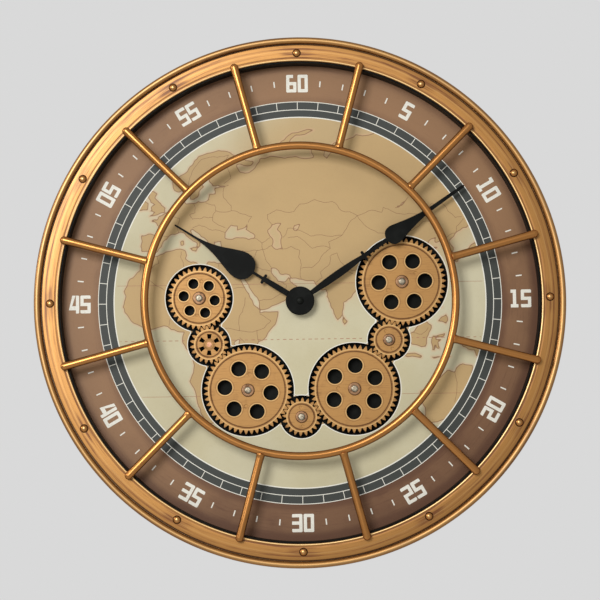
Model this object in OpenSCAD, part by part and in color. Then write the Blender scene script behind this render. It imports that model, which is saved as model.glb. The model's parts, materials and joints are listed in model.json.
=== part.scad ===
// Large round skeleton wall clock: a brushed metal case with a raised cage, a printed
// dial on board, seven turning gears sunk in the dial, and a quartz movement behind.
// The origin is where the clock's axis meets the wall, +Z is up and the front faces -Y.

/* [Case and bezel] */
// Outside diameter of the case
case_d = 600; // [590:1:610]
// Depth of the case from the wall to the top of its rounded lip
case_depth = 64; // [62:0.5:66]
// Wall thickness of the case
case_wall = 3; // [2:0.5:3.5]
// Width of the rounded lip at the front of the case
lip_w = 7.3; // [6:0.1:7.5]
// Gap between the lip and the bezel
groove_w = 1.3; // [0.8:0.1:2]
// Inner radius of the bezel
bezel_inner_r = 272.6; // [271:0.1:274]
// Thickness of the bezel
bezel_t = 4; // [3:0.5:4.5]
// Radius of the circle that the rivets stand on
rivet_circle_r = 281.6; // [280:0.1:283]
// Radius of a rivet head
rivet_r = 4.3; // [3:0.1:5]

/* [Cage] */
// Radius of the cage ring at the middle of its tube
cage_r = 175; // [172:0.5:178]
// Diameter of the cage ring's tube
cage_tube_d = 9; // [8:0.5:10]
// Diameter of a cage rod
rod_d = 9; // [6:0.5:10]
// Radius that the outer ends of the rods reach
rod_reach = 278.7; // [277:0.1:279]
// Number of rods
rod_count = 12; // [12:12:12]

/* [Dial] */
// Thickness of the dial board
board_t = 5; // [4:0.5:5]
// Thickness of the printed face
print_t = 0.4; // [0.3:0.1:0.5]
// Gap between a gear's tooth tips and the edge of its cut-out
cutout_gap = 2.4; // [1.5:0.1:3]

/* [Gears] */
// Gear module, the pitch diameter divided by the number of teeth
gear_module = 2; // [2:0.5:2]
// Teeth on a large gear
large_teeth = 48; // [48:1:48]
// Teeth on the medium gear
medium_teeth = 34; // [34:1:34]
// Teeth on a pinion
pinion_teeth = 20; // [20:1:20]
// Face width of the gears
gear_t = 5; // [4:0.5:5]
// Pressure angle of the teeth
pressure_angle = 25; // [22:0.5:26]
// Thickness taken off each tooth, so that the gears run freely
backlash = 0.3; // [0.2:0.05:0.5]
// Distance of the bottom pinion below the clock's axis
train_drop = 131; // [130:0.5:132]
// Direction from the bottom pinion to the lower right gear
lower_link = 27.1; // [26.8:0.1:27.4]
// Direction from the lower right gear to the right pinion
right_link = 54; // [53.5:0.1:54.5]
// Direction from the right pinion to the upper right gear
upper_right_link = 76.5; // [76:0.1:77]
// Direction from the lower left gear to the left pinion
left_link = 129.6; // [129:0.1:130]
// Direction from the left pinion to the upper left gear
upper_left_link = 101.6; // [101:0.1:102]

/* [Hands] */
// Where the hour hand points, clockwise from 12
hour_angle = 302.1; // [0:0.1:360]
// Where the minute hand points, clockwise from 12
minute_angle = 55.6; // [0:0.1:360]
// Thickness of a hand
hand_t = 1.2; // [1:0.1:1.5]
// Radius of the disc at the root of the minute hand
hub_r = 16.3; // [14:0.1:18]

/* [Movement and drive] */
// Width of the quartz movement
movement_w = 56; // [56:1:58]
// Depth of the quartz movement
movement_depth = 16; // [16:0.5:16]
// Width of the gear drive's housing
drive_w = 64; // [64:1:66]
// Travel of the power switch
switch_travel = 4; // [3:0.5:4]

/* [Hidden] */
$fn = 64;
clear = 0.05;

// Depths from the wall
cover_d0 = 2;
cover_t = 3;
cover_d1 = cover_d0 + cover_t;
board_d0 = 35;
board_d1 = board_d0 + board_t;
face_d = board_d1 + print_t;
plate_t = 3;
plate_d0 = 24;
plate_d1 = plate_d0 + plate_t;
gear_d0 = face_d - 1 - gear_t;
gear_d1 = gear_d0 + gear_t;
cap_d0 = gear_d1 + 0.2;
cap_d1 = cap_d0 + 2;
bezel_d1 = case_depth - 2;
bezel_d0 = bezel_d1 - bezel_t;
ledge_t = 3;
ledge_d0 = bezel_d0 - ledge_t;
rod_d0 = bezel_d1 + rod_d / 2;
hour_hand_d = 47.4;
minute_hand_d = 51;
hub_d1 = minute_hand_d + 2.4;

// Radii in the case
case_r = case_d / 2;
case_inner_r = case_r - case_wall;
lip_inner_r = case_r - lip_w;
bezel_outer_r = lip_inner_r - groove_w;
web_r1 = bezel_inner_r - 0.1;
web_r0 = web_r1 - 1.7;
foot_r = 284;
post_circle_r = 288;
stud_circle_r = rod_reach - 2.7;
stud_r = 1.6;
nut_flats = 5.5;
rivet_shank_r = 1.6;
rivet_flange_h = 0.4;
rivet_h = 2.4;

// Gear train, each place found from the last one
function polar(a, r) = [r * cos(a), r * sin(a)];
large_gap = gear_module * (large_teeth + pinion_teeth) / 2;
medium_gap = gear_module * (medium_teeth + pinion_teeth) / 2;
pinion_bottom_at = [0, -train_drop];
gear_lower_right_at = pinion_bottom_at + polar(lower_link, large_gap);
gear_lower_left_at = pinion_bottom_at + polar(180 - lower_link, large_gap);
pinion_right_at = gear_lower_right_at + polar(right_link, large_gap);
gear_upper_right_at = pinion_right_at + polar(upper_right_link, large_gap);
pinion_left_at = gear_lower_left_at + polar(left_link, large_gap);
gear_upper_left_at = pinion_left_at + polar(upper_left_link, medium_gap);

// The angle of one tooth of the next gear, so that it meshes with the one before it
function mesh(phase, z, next_z, link) =
    link + 180 - (0.5 - (link - phase) * z / 360) * 360 / next_z;

pinion_bottom_phase = 14.3;
lower_right_phase = mesh(pinion_bottom_phase, pinion_teeth, large_teeth, lower_link);
lower_left_phase = mesh(pinion_bottom_phase, pinion_teeth, large_teeth, 180 - lower_link);
pinion_right_phase = mesh(lower_right_phase, large_teeth, pinion_teeth, right_link);
upper_right_phase = mesh(pinion_right_phase, pinion_teeth, large_teeth, upper_right_link);
pinion_left_phase = mesh(lower_left_phase, large_teeth, pinion_teeth, left_link);
upper_left_phase = mesh(pinion_left_phase, pinion_teeth, medium_teeth, upper_left_link);

// Place and number of teeth of each gear
train = [
    [gear_upper_right_at, large_teeth],
    [pinion_right_at, pinion_teeth],
    [gear_lower_right_at, large_teeth],
    [pinion_bottom_at, pinion_teeth],
    [gear_lower_left_at, large_teeth],
    [pinion_left_at, pinion_teeth],
    [gear_upper_left_at, medium_teeth]
];
// The left pinion sits on the drive's own shaft, so it has no post
posted = [for (i = [0:6]) if (i != 5) train[i]];
post_r = 2.95;
gear_bore_r = post_r + clear;
post_stub_r = 2.5;
tap_r = 1.5;
drive_shaft_r = 2.9;

// Places of the spacers that hold the gear plate behind the dial
spacer_at = [
    [150, -67], [-150, -69], [59, -162], [-59, -162], [0, -70],
    [70, -20], [-70, -20], [100, 78], [-110, 55]
];

// Hanger: the keyhole's round entry stands at hanger_y, and its slot rises from there
hanger_y = 248;
hanger_entry_r = 5;
hanger_slot_r = 2.5;
hanger_rise = 11;
hanger_t = 1.4;
hanger_screw_x = 24;

// Movement, about the clock's axis
movement_d1 = board_d0 - 1;
movement_d0 = movement_d1 - movement_depth;
movement_top = 28;
movement_bottom = -30;
movement_wall = 1.5;
bay_top = -13.7;
cell_r = 7.2;
cell_len = 49.5;
arbor_r = 2;
pipe_r = 3;
pipe_bore_r = arbor_r + clear;
bushing_r = 5;
works_gap = 12;
works_angle = 135;
motion_module = 0.5;
hour_module = 0.48;
minute_wheel_at = polar(works_angle, works_gap);
setting_at = minute_wheel_at + [0, works_gap];
minute_layer = 26.3;
hour_layer = 29.2;
minute_wheel_phase = mesh(0, 12, 36, works_angle);
hour_wheel_phase = mesh(0, 10, 40, works_angle + 180);
setting_phase = mesh(minute_wheel_phase, 36, 12, 90);

// Gear drive, about the left pinion's axis
drive_d0 = 7;
drive_wall = 1.5;
drive_top = 14.5;
drive_bay_top = -14.5;
drive_bottom = -46.5;
lid_t = 1.3;
drive_gap = 12.5;
reduction_at = [drive_gap, 0];
motor_link = 30;
motor_at = reduction_at + polar(motor_link, drive_gap);
shaft_wheel_d = 18.5;
reduction_d = 14;
shaft_wheel_phase = 0;
reduction_pinion_phase = mesh(shaft_wheel_phase, 40, 10, 0);
reduction_wheel_phase = reduction_pinion_phase;
motor_pinion_phase = mesh(reduction_wheel_phase, 40, 10, motor_link);
switch_at = [-23, 3];

// Outlines of the hands as [distance from the axis, half width], from root to tip
minute_leaf = [
    [10, 2.5], [18, 2.8], [26, 3.4], [36, 4], [50, 4.3], [62, 4.15], [74, 3.5], [86, 2.4]
];
minute_spade = [
    [86, 2.4], [120.8, 2.4], [121.4, 4.6], [122.6, 7], [124.6, 9.1], [127.4, 10.4],
    [131, 10.9], [135, 10.3], [141, 8.8], [150, 6.7], [160, 4.7], [170, 3.3], [182, 2.4],
    [205, 2], [226.6, 1.7], [228, 0.8]
];
hour_leaf = [[10, 3.1], [26, 3.35], [36, 3.2], [50, 2.7]];
hour_spade = [
    [46, 1.6], [61.8, 1.6], [62.6, 4.4], [64, 8.2], [66.2, 11.3], [69.4, 13.7],
    [73.4, 15.3], [78, 15.8], [82.6, 15.4], [88, 13.9], [96, 11.1], [104, 8],
    [112, 5.4], [120, 3.5], [128, 2.1], [137, 1.25], [165.8, 1], [167, 0.4]
];

function rod_name(i) = str("cage_rod_", i < 10 ? "0" : "", i);

// ---- Helpers ----

// Puts children that are drawn as seen from the front at a depth from the wall
module at(d) rotate([90, 0, 0]) translate([0, 0, d]) children();

// A disc between two depths, centred at p
module disc(p, r, d0, d1) at(d0) translate(p) cylinder(r = r, h = d1 - d0);

// An upright box between two corners of the front view and two depths
module slab(x0, y0, x1, y1, d0, d1) at(d0) translate([x0, y0]) cube([x1 - x0, y1 - y0, d1 - d0]);

// A ring about the clock's axis from its [radius, depth] outline
module turned(outline) rotate([90, 0, 0]) rotate_extrude($fn = 180) polygon(outline);

// Children copied round the clock's axis
module around(n, r, first = 0)
    for (i = [0:n - 1]) rotate([0, -first - i * 360 / n, 0]) translate([r, 0, 0]) children();

// ---- Gear teeth ----

function involute(a) = tan(a) * 180 / PI - a;
// Half of the angle that a tooth takes up at radius r
function half_tooth(z, m, r, play) =
    let (
        base = m * z * cos(pressure_angle) / 2,
        here = acos(min(1, base / r)),
        at_pitch = 90 / z - play / (m * z) * 180 / PI
    )
    at_pitch + involute(pressure_angle) - involute(here);
// One tooth from its left foot over the tip to its right foot
function tooth(z, m, play) =
    let (
        rp = m * z / 2,
        radii = [rp - 1.25 * m, rp - 0.2 * m, rp + m],
        up = [for (r = radii) [r, half_tooth(z, m, r, play)]]
    )
    concat(
        [for (p = up) [p[0], -p[1]]],
        [for (i = [2:-1:0]) up[i]]
    );
module toothed(z, m, phase, play)
    polygon([
        for (i = [0:z - 1])
            for (p = tooth(z, m, play)) polar(phase + i * 360 / z + p[1], p[0])
    ]);

// A small wheel inside the movement or the drive
module small_wheel(p, z, m, phase, d0, t, bore)
    at(d0) translate(p) linear_extrude(t) difference() {
        toothed(z, m, phase, m * 0.16);
        circle(bore);
    }

// ---- Case ----

module case_rim() {
    lip_r = lip_w / 2;
    lip_d = case_depth - lip_r;
    color("darkgoldenrod") difference() {
        turned(concat(
            [[case_inner_r, 0], [case_r, 0]],
            [for (a = [0:15:180]) [case_r - lip_r + lip_r * cos(a), lip_d + lip_r * sin(a)]],
            [
                [lip_inner_r, bezel_d0], [bezel_inner_r + 0.1, bezel_d0],
                [bezel_inner_r + 0.1, ledge_d0], [case_inner_r, ledge_d0]
            ]
        ));
        around(12, rivet_circle_r) disc([0, 0], rivet_shank_r + clear, ledge_d0 - 1, bezel_d1);
        around(12, stud_circle_r, 15) disc([0, 0], stud_r + clear, ledge_d0 - 1, bezel_d1);
        around(8, post_circle_r, 22.5) disc([0, 0], 2, ledge_d0 - 1, bezel_d0 - 1);
    }
}

module bezel_ring() {
    edge = 1.2;
    color("goldenrod") difference() {
        turned([
            [bezel_inner_r, bezel_d0], [bezel_outer_r, bezel_d0],
            [bezel_outer_r, bezel_d1 - edge], [bezel_outer_r - edge, bezel_d1 - edge / 3],
            [bezel_outer_r - 2 * edge, bezel_d1], [bezel_inner_r + 2 * edge, bezel_d1],
            [bezel_inner_r + edge, bezel_d1 - edge / 3], [bezel_inner_r, bezel_d1 - edge]
        ]);
        around(12, rivet_circle_r)
            disc([0, 0], rivet_shank_r + clear, bezel_d0 - 1, bezel_d1 + 1);
        around(12, stud_circle_r, 15) disc([0, 0], stud_r + clear, bezel_d0 - 1, bezel_d1 + 1);
    }
}

module rivet() {
    ball_r = (rivet_r * rivet_r + rivet_h * rivet_h) / (2 * rivet_h);
    seat = bezel_d1 + rivet_flange_h;
    disc([0, 0], rivet_r + 0.5, bezel_d1, seat);
    intersection() {
        at(seat + rivet_h - ball_r) sphere(ball_r);
        disc([0, 0], rivet_r + 1, seat - 0.1, seat + rivet_h + 1);
    }
    disc([0, 0], rivet_shank_r, ledge_d0, bezel_d1);
    disc([0, 0], 2 * rivet_shank_r, ledge_d0 - 1.2, ledge_d0);
}

module bezel_rivets() color("peru") around(12, rivet_circle_r) rivet();

module cage_tube() at(rod_d0) rotate_extrude($fn = 120) translate([cage_r, 0]) circle(cage_tube_d / 2);

module cage_ring() color("peru") cage_tube();

module cage_rod(i) {
    end_r = rod_reach - rod_d / 2;
    color("peru") rotate([0, 15 - i * 30, 0]) difference() {
        union() {
            translate([cage_r, -rod_d0, 0]) rotate([0, 90, 0]) cylinder(d = rod_d, h = end_r - cage_r);
            translate([end_r, -rod_d0, 0]) sphere(d = rod_d);
            disc([stud_circle_r, 0], stud_r, ledge_d0 - 3.5, rod_d0 - 1.5);
        }
        cage_tube();
    }
}

module rod_nuts()
    color("silver") around(12, stud_circle_r, 15) at(ledge_d0 - 2.4) difference() {
        cylinder(d = nut_flats / cos(30), h = 2.4, $fn = 6);
        translate([0, 0, -1]) cylinder(r = stud_r, h = 5);
    }

module reveal_ring()
    color("black") turned([
        [web_r0, face_d], [web_r0 + 0.6, face_d], [web_r0 + 0.6, board_d1],
        [foot_r, board_d1], [foot_r, board_d1 + 1.5], [web_r1, board_d1 + 1.5],
        [web_r1, bezel_d1 - 3], [web_r0, bezel_d1 - 3]
    ]);

// Turned posts hang from the ledge, stop the dial board and carry the rear cover
module frame_posts()
    color("dimgray") around(8, post_circle_r, 22.5) difference() {
        union() {
            disc([0, 0], 4, cover_d1, board_d0);
            disc([0, 0], 2.5, board_d0, ledge_d0);
            disc([0, 0], 2, ledge_d0, bezel_d0 - 1);
        }
        disc([0, 0], 1.5, cover_d1 - 1, cover_d1 + 12);
    }

module rear_cover() {
    slack = 3;
    color("saddlebrown") difference() {
        disc([0, 0], case_inner_r - 0.3, cover_d0, cover_d1);
        around(8, post_circle_r, 22.5) disc([0, 0], 1.6, cover_d0 - 1, cover_d1 + 1);
        slab(-movement_w / 2 - slack, movement_bottom - slack, movement_w / 2 + slack,
            movement_top + slack, cover_d0 - 1, cover_d1 + 1);
        slab(pinion_left_at[0] - drive_w / 2 - slack, pinion_left_at[1] + drive_bottom - slack,
            pinion_left_at[0] + drive_w / 2 + slack, pinion_left_at[1] + drive_top + slack,
            cover_d0 - 1, cover_d1 + 1);
        disc([0, hanger_y], 8, cover_d0 - 1, cover_d1 + 1);
        slab(-6, hanger_y, 6, hanger_y + 16, cover_d0 - 1, cover_d1 + 1);
        for (x = [-hanger_screw_x, hanger_screw_x]) disc([x, hanger_y + 5], 1.6, cover_d0 - 1, cover_d1 + 1);
    }
}

module hanger_plate()
    color("silver") at(cover_d0 - hanger_t) linear_extrude(hanger_t) difference() {
        union() {
            translate([-24, hanger_y - 9]) square([48, 28]);
            for (x = [-hanger_screw_x, hanger_screw_x]) translate([x, hanger_y + 5]) circle(14);
        }
        translate([0, hanger_y]) circle(hanger_entry_r);
        translate([-hanger_slot_r, hanger_y]) square([2 * hanger_slot_r, hanger_rise]);
        translate([0, hanger_y + hanger_rise]) circle(hanger_slot_r);
        for (x = [-hanger_screw_x, hanger_screw_x]) translate([x, hanger_y + 5]) circle(1.6);
    }

// A flat-headed screw whose head sits between d0 and d0 + head
module screw_from_behind(p, r, head_r, head, d0, d1) {
    difference() {
        disc(p, head_r, d0, d0 + head);
        slab(p[0] - head_r * 0.6, p[1] - 0.4, p[0] + head_r * 0.6, p[1] + 0.4, d0 - 1, d0 + head / 2);
        slab(p[0] - 0.4, p[1] - head_r * 0.6, p[0] + 0.4, p[1] + head_r * 0.6, d0 - 1, d0 + head / 2);
    }
    disc(p, r, d0 + head, d1);
}

module cover_screws() color("gray") {
    around(8, post_circle_r, 22.5)
        screw_from_behind([0, 0], 1.45, 3.2, 1.4, cover_d0 - 1.4, cover_d1 + 11);
    for (x = [-hanger_screw_x, hanger_screw_x])
        screw_from_behind([x, hanger_y + 5], 1.45, 2.9, 0.5, 0.1, cover_d1 + 4);
}

// ---- Dial ----

module train_cutouts(grow = 0)
    for (g = train) translate(g[0]) circle(gear_module * (g[1] / 2 + 1) + cutout_gap + grow);

module dial_board()
    color("burlywood") at(board_d0) linear_extrude(board_t) difference() {
        circle(case_inner_r - 0.4);
        train_cutouts();
        circle(bushing_r + 0.2);
        for (i = [0:7]) translate(polar(22.5 + i * 45, post_circle_r)) circle(2.6);
        for (p = spacer_at) translate(p) circle(1.2);
    }

module dial_print()
    color("tan") at(board_d1) linear_extrude(print_t) difference() {
        circle(web_r0 + 0.5);
        train_cutouts();
        circle(bushing_r + 0.2);
    }

module gear_plate()
    color("black") at(plate_d0) linear_extrude(plate_t) difference() {
        circle(180);
        circle(46);
        translate([-200, 90]) square([400, 100]);
        translate([-50, 0]) square([100, 200]);
        for (g = posted) translate(g[0]) circle(post_stub_r);
        translate(pinion_left_at) circle(drive_shaft_r + 0.6);
        for (p = spacer_at) translate(p) circle(1.5);
    }

module plate_spacers()
    color("black") for (p = spacer_at) difference() {
        disc(p, 4, plate_d1, board_d0);
        disc(p, 1.7, plate_d1 - 1, board_d0 + 1);
    }

module plate_screws()
    color("gray") for (p = spacer_at)
        screw_from_behind(p, 1.2, 3.2, 1.8, plate_d0 - 1.8, board_d1 - 1);

// ---- Gears ----

module show_gear(p, z, phase, bore) {
    rp = gear_module * z / 2;
    groove_r = rp - 5.7;
    groove = 0.9;
    at(gear_d0) translate(p) difference() {
        linear_extrude(gear_t) toothed(z, gear_module, phase, backlash);
        translate([0, 0, gear_t - 0.5]) difference() {
            cylinder(r = groove_r + groove / 2, h = 1);
            translate([0, 0, -1]) cylinder(r = groove_r - groove / 2, h = 3);
        }
        translate([0, 0, -1]) cylinder(r = bore, h = gear_t + 2);
        children();
    }
}

// Round lightening holes
module holes(n, circle_r, r, first)
    for (i = [0:n - 1]) translate(polar(first + i * 360 / n, circle_r)) translate([0, 0, -1])
        cylinder(r = r, h = gear_t + 2);

// Two shallow round punch marks across from each other
module punch_marks(circle_r, r, first)
    for (i = [0, 1]) translate(polar(first + i * 180, circle_r)) translate([0, 0, gear_t - 0.6])
        cylinder(r = r, h = 2);

module large_gear(p, phase, holes_first, marks_first)
    color("peru") show_gear(p, large_teeth, phase, gear_bore_r) {
        holes(6, 26.3, 8.5, holes_first);
        punch_marks(18.4, 2.2, marks_first);
    }

module pinion(p, phase, marks_first)
    color("peru") show_gear(p, pinion_teeth, phase, gear_bore_r)
        punch_marks(10.7, 1.7, marks_first);

module gear_upper_right() large_gear(gear_upper_right_at, upper_right_phase, 1.4, 31);
module gear_lower_right() large_gear(gear_lower_right_at, lower_right_phase, 27.4, -2);
module gear_lower_left() large_gear(gear_lower_left_at, lower_left_phase, 52.8, 83);
module pinion_right() pinion(pinion_right_at, pinion_right_phase, 110);
module pinion_bottom() pinion(pinion_bottom_at, pinion_bottom_phase, 95.5);

module gear_upper_left()
    color("peru") show_gear(gear_upper_left_at, medium_teeth, upper_left_phase, gear_bore_r) {
        holes(6, 17.8, 5.8, 51.6);
        punch_marks(19.6, 1.7, 82);
    }

// The left pinion has six tapered slots in place of holes
module pinion_left()
    color("peru") show_gear(pinion_left_at, pinion_teeth, pinion_left_phase, drive_shaft_r)
        for (i = [0:5]) rotate(89 + i * 60) translate([0, 0, -1]) linear_extrude(gear_t + 2)
            polygon([[6.6, -1.8], [12, -2.7], [12, 2.7], [6.6, 1.8]]);

module gear_posts()
    color("silver") for (g = posted) difference() {
        union() {
            disc(g[0], 6, plate_d1, plate_d1 + 2);
            disc(g[0], 4, plate_d1 + 2, gear_d0 - 0.2);
            disc(g[0], post_r, gear_d0 - 0.2, cap_d0);
            disc(g[0], post_stub_r, plate_d0 - 1, plate_d1);
        }
        disc(g[0], tap_r, cap_d0 - 8, cap_d0 + 1);
    }

function cap_r(z) = z == pinion_teeth ? 6.9 : 7.5;

module cap_washers()
    color("peru") for (g = posted) at(cap_d0) translate(g[0]) rotate_extrude() {
        r = cap_r(g[1]);
        polygon([[tap_r + clear, 0], [r, 0], [r, 0.8], [r - 0.5, 1.5], [r - 1.3, 2], [tap_r + clear, 2]]);
    }

module gear_screws()
    color("gainsboro") for (g = posted) at(cap_d1) translate(g[0]) {
        difference() {
            rotate_extrude() polygon([[0, 0], [4, 0], [4, 0.8], [3.4, 1.5], [2.3, 1.9], [0, 2]]);
            for (a = [0, 90]) rotate(a + 30) translate([-2.1, -0.35, 1]) cube([4.2, 0.7, 2]);
        }
        translate([0, 0, -8.5]) cylinder(r = tap_r - clear, h = 8.5);
    }

// ---- Hands ----

// A flat symmetrical blade from [distance, half width] pairs, pointing along +Y
module blade(outline)
    polygon(concat(
        [for (p = outline) [p[1], p[0]]],
        [for (i = [len(outline) - 1:-1:0]) [-outline[i][1], outline[i][0]]]
    ));

// A short crosspiece with round ends
module collar(distance, half_w, half_t) {
    translate([-half_w + half_t, distance - half_t]) square([2 * (half_w - half_t), 2 * half_t]);
    for (s = [-1, 1]) translate([s * (half_w - half_t), distance]) circle(half_t);
}

module minute_hand()
    color("black") at(minute_hand_d) difference() {
        union() {
            rotate(-minute_angle) linear_extrude(hand_t) {
                blade(minute_leaf);
                blade(minute_spade);
                collar(89, 6, 1.7);
            }
            rotate_extrude() polygon([[0, 0], [hub_r, 0], [hub_r, 1.7], [hub_r - 0.7, 2.4], [0, 2.4]]);
            translate([0, 0, -1.2]) cylinder(r = 4, h = 1.3);
        }
        translate([0, 0, -2]) cylinder(r = arbor_r, h = 6);
    }

module hour_hand()
    color("black") at(hour_hand_d) difference() {
        union() {
            rotate(-hour_angle) linear_extrude(hand_t) {
                blade(hour_leaf);
                blade(hour_spade);
                collar(48, 6, 1.7);
            }
            cylinder(r = 12, h = hand_t);
            translate([0, 0, -3]) cylinder(r = 4.6, h = 3.1);
        }
        translate([0, 0, -4]) cylinder(r = pipe_r, h = 8);
    }

module hand_nut()
    color("dimgray") at(hub_d1) difference() {
        rotate_extrude() polygon([
            [0, 0], [3.9, 0], [3.9, 0.9], [3.5, 1.7], [2.7, 2.3], [1.4, 2.7], [0, 2.8]
        ]);
        translate([0, 0, -1]) cylinder(r = arbor_r, h = 2);
    }

// ---- Quartz movement ----

module movement_case() {
    w = movement_w / 2;
    t = movement_wall;
    color("#202020") difference() {
        slab(-w, movement_bottom, w, movement_top, movement_d0, movement_d1);
        slab(-w + t, bay_top + t, w - t, movement_top - t, movement_d0 - 1, movement_d1 - t);
        slab(-w + t, movement_bottom + t, w - t, bay_top, movement_d0 - 1, movement_d1 - t);
        disc([0, 0], bushing_r, movement_d1 - t - 1, movement_d1 + 1);
    }
    color("#202020") disc(minute_wheel_at, 0.8, minute_layer - 2, movement_d1 - t);
}

module movement_cover() {
    w = movement_w / 2 - movement_wall - 0.1;
    color("#303030") difference() {
        slab(-w, bay_top + movement_wall + 0.1, w, movement_top - movement_wall - 0.1,
            movement_d0, movement_d0 + 1.5);
        disc([0, 0], 1.05, movement_d0 - 1, movement_d0 + 3);
        disc(setting_at, 1.25, movement_d0 - 1, movement_d0 + 3);
    }
}

module center_bushing()
    color("goldenrod") difference() {
        union() {
            disc([0, 0], 7, movement_d1 - movement_wall - 1.2, movement_d1 - movement_wall);
            disc([0, 0], bushing_r, movement_d1 - movement_wall, face_d + 2.8);
        }
        disc([0, 0], pipe_r + clear, 28, 48);
    }

module bushing_nut()
    color("goldenrod") at(face_d) difference() {
        cylinder(d = 14 / cos(30), h = 2.2, $fn = 6);
        translate([0, 0, -1]) cylinder(r = bushing_r, h = 5);
    }

module rubber_washer()
    color("#181818") difference() {
        disc([0, 0], 12, movement_d1, board_d0);
        disc([0, 0], bushing_r, movement_d1 - 1, board_d0 + 1);
    }

// The minute arbor runs through the hour pipe, from the rear pivot to the hand nut
module center_wheel() color("gold") {
    disc([0, 0], 1, movement_d0, 20.2);
    disc([0, 0], arbor_r, 20.2, hub_d1 + 1);
    small_wheel([0, 0], 40, motion_module, 0, 22, 1, arbor_r - clear);
    small_wheel([0, 0], 12, motion_module, 0, minute_layer, 1.6, arbor_r - clear);
}

module hour_wheel()
    color("ivory") {
        small_wheel([0, 0], 40, hour_module, hour_wheel_phase, hour_layer, 1, pipe_bore_r);
        difference() {
            disc([0, 0], pipe_r, hour_layer, hour_hand_d + hand_t);
            disc([0, 0], pipe_bore_r, hour_layer - 1, hour_hand_d + 3);
        }
    }

module minute_wheel() color("ivory") {
    small_wheel(minute_wheel_at, 36, motion_module, minute_wheel_phase, minute_layer + 0.3, 1, 0.85);
    small_wheel(minute_wheel_at, 10, hour_module, 0, minute_layer + 1.3, 2.8, 0.85);
}

module setting_knob() color("ivory") {
    difference() {
        disc(setting_at, 7, movement_d0 - 5, movement_d0 - 0.6);
        for (i = [0:17]) disc(setting_at + polar(i * 20, 7.3), 0.7, movement_d0 - 6, movement_d0);
    }
    disc(setting_at, 1.2, movement_d0 - 0.6, minute_layer + 1.8);
    small_wheel(setting_at, 12, motion_module, setting_phase, minute_layer, 1.6, 1.15);
}

// Coil on its bobbin, with the stator plate beside it
module step_motor() color("sienna") {
    at(24) translate([20, -9]) rotate([-90, 0, 0]) cylinder(r = 3.3, h = 22);
    for (y = [-10.4, 13]) slab(16, y, 24, y + 1.4, 20, movement_d1 - movement_wall);
    slab(12.6, -10.4, 24, -5, 28, 29);
}

module cell(p, d) {
    at(d) translate([p[0], p[1]]) rotate([0, 90, 0]) translate([0, 0, -cell_len / 2]) {
        cylinder(r = cell_r, h = cell_len - 1);
        cylinder(r = 2.7, h = cell_len);
    }
}

bay_mid = (movement_bottom + movement_wall + bay_top) / 2;
module movement_battery() color("seagreen") cell([0, bay_mid], movement_d0 + cell_r + 0.1);

// Spring and plate contacts at the ends of the three cells
module contact_pair(p, half_w, d) {
    for (s = [-1, 1])
        slab(p[0] + s * half_w - 0.4, p[1] - 5, p[0] + s * half_w + 0.4, p[1] + 5, d - 5, d + 5);
}
drive_cell_y = [drive_bay_top - 7.5, drive_bay_top - 22.8];
drive_cell_d = drive_d0 + cell_r + 0.4;
module battery_contacts() color("silver") {
    contact_pair([0, bay_mid], movement_w / 2 - movement_wall - 0.5, movement_d0 + cell_r + 0.1);
    for (y = drive_cell_y)
        contact_pair(pinion_left_at + [0, y], drive_w / 2 - drive_wall - 0.5, drive_cell_d);
}

// ---- Gear drive ----

module in_drive() translate([pinion_left_at[0], 0, pinion_left_at[1]]) children();

module drive_housing() {
    w = drive_w / 2;
    t = drive_wall;
    color("#1c1c1c") in_drive() {
        difference() {
            slab(-w, drive_bottom, w, drive_top, drive_d0, plate_d0);
            slab(-w + t, drive_bay_top + t, w - t, drive_top - t, drive_d0 - 1, plate_d0 - t);
            slab(-w + t, drive_bottom + t, w - t, drive_bay_top, drive_d0 - 1, plate_d0 - t);
            disc([0, 0], drive_shaft_r + clear, plate_d0 - 4, plate_d0 + 1);
        }
        disc(reduction_at, 0.8, reduction_d - 2, plate_d0 - t);
    }
}

module drive_cover() {
    w = drive_w / 2 - drive_wall - 0.1;
    slot = switch_travel / 2 + 2.3;
    color("#2a2a2a") in_drive() difference() {
        slab(-w, drive_bay_top + drive_wall + 0.1, w, drive_top - drive_wall - 0.1,
            drive_d0, drive_d0 + lid_t);
        disc([0, 0], 1.55, drive_d0 - 1, drive_d0 + 3);
        slab(switch_at[0] - slot, switch_at[1] - 1.8, switch_at[0] + slot, switch_at[1] + 1.8,
            drive_d0 - 1, drive_d0 + 3);
    }
}

module drive_motor() color("silver") in_drive() difference() {
    union() {
        disc(motor_at, 6, reduction_d + 2.2, plate_d0 - drive_wall);
        disc(motor_at, 2.2, reduction_d + 1.9, reduction_d + 2.3);
    }
    disc(motor_at, 0.8, reduction_d + 1, plate_d0 - drive_wall - 1);
}

module motor_pinion() color("ivory") in_drive() {
    small_wheel(motor_at, 10, motion_module, motor_pinion_phase, reduction_d - 0.2, 1.6, 0.7);
    disc(motor_at, 0.75, reduction_d - 0.2, plate_d0 - drive_wall - 2);
}

module drive_shaft() color("rosybrown") in_drive() {
    disc([0, 0], 1.5, drive_d0 + 0.2, 17);
    disc([0, 0], drive_shaft_r, 17, gear_d1 + 0.9);
    disc([0, 0], 4.4, gear_d0 - 2, gear_d0);
    small_wheel([0, 0], 40, motion_module, shaft_wheel_phase, shaft_wheel_d, 1.5, drive_shaft_r - clear);
}

module reduction_wheel() color("ivory") in_drive() {
    small_wheel(reduction_at, 40, motion_module, reduction_wheel_phase, reduction_d, 1.2, 0.85);
    small_wheel(reduction_at, 10, motion_module, reduction_pinion_phase, reduction_d + 1.2, 5.2, 0.85);
}

module drive_batteries()
    color("seagreen") for (y = drive_cell_y) cell(pinion_left_at + [0, y], drive_cell_d);

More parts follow.
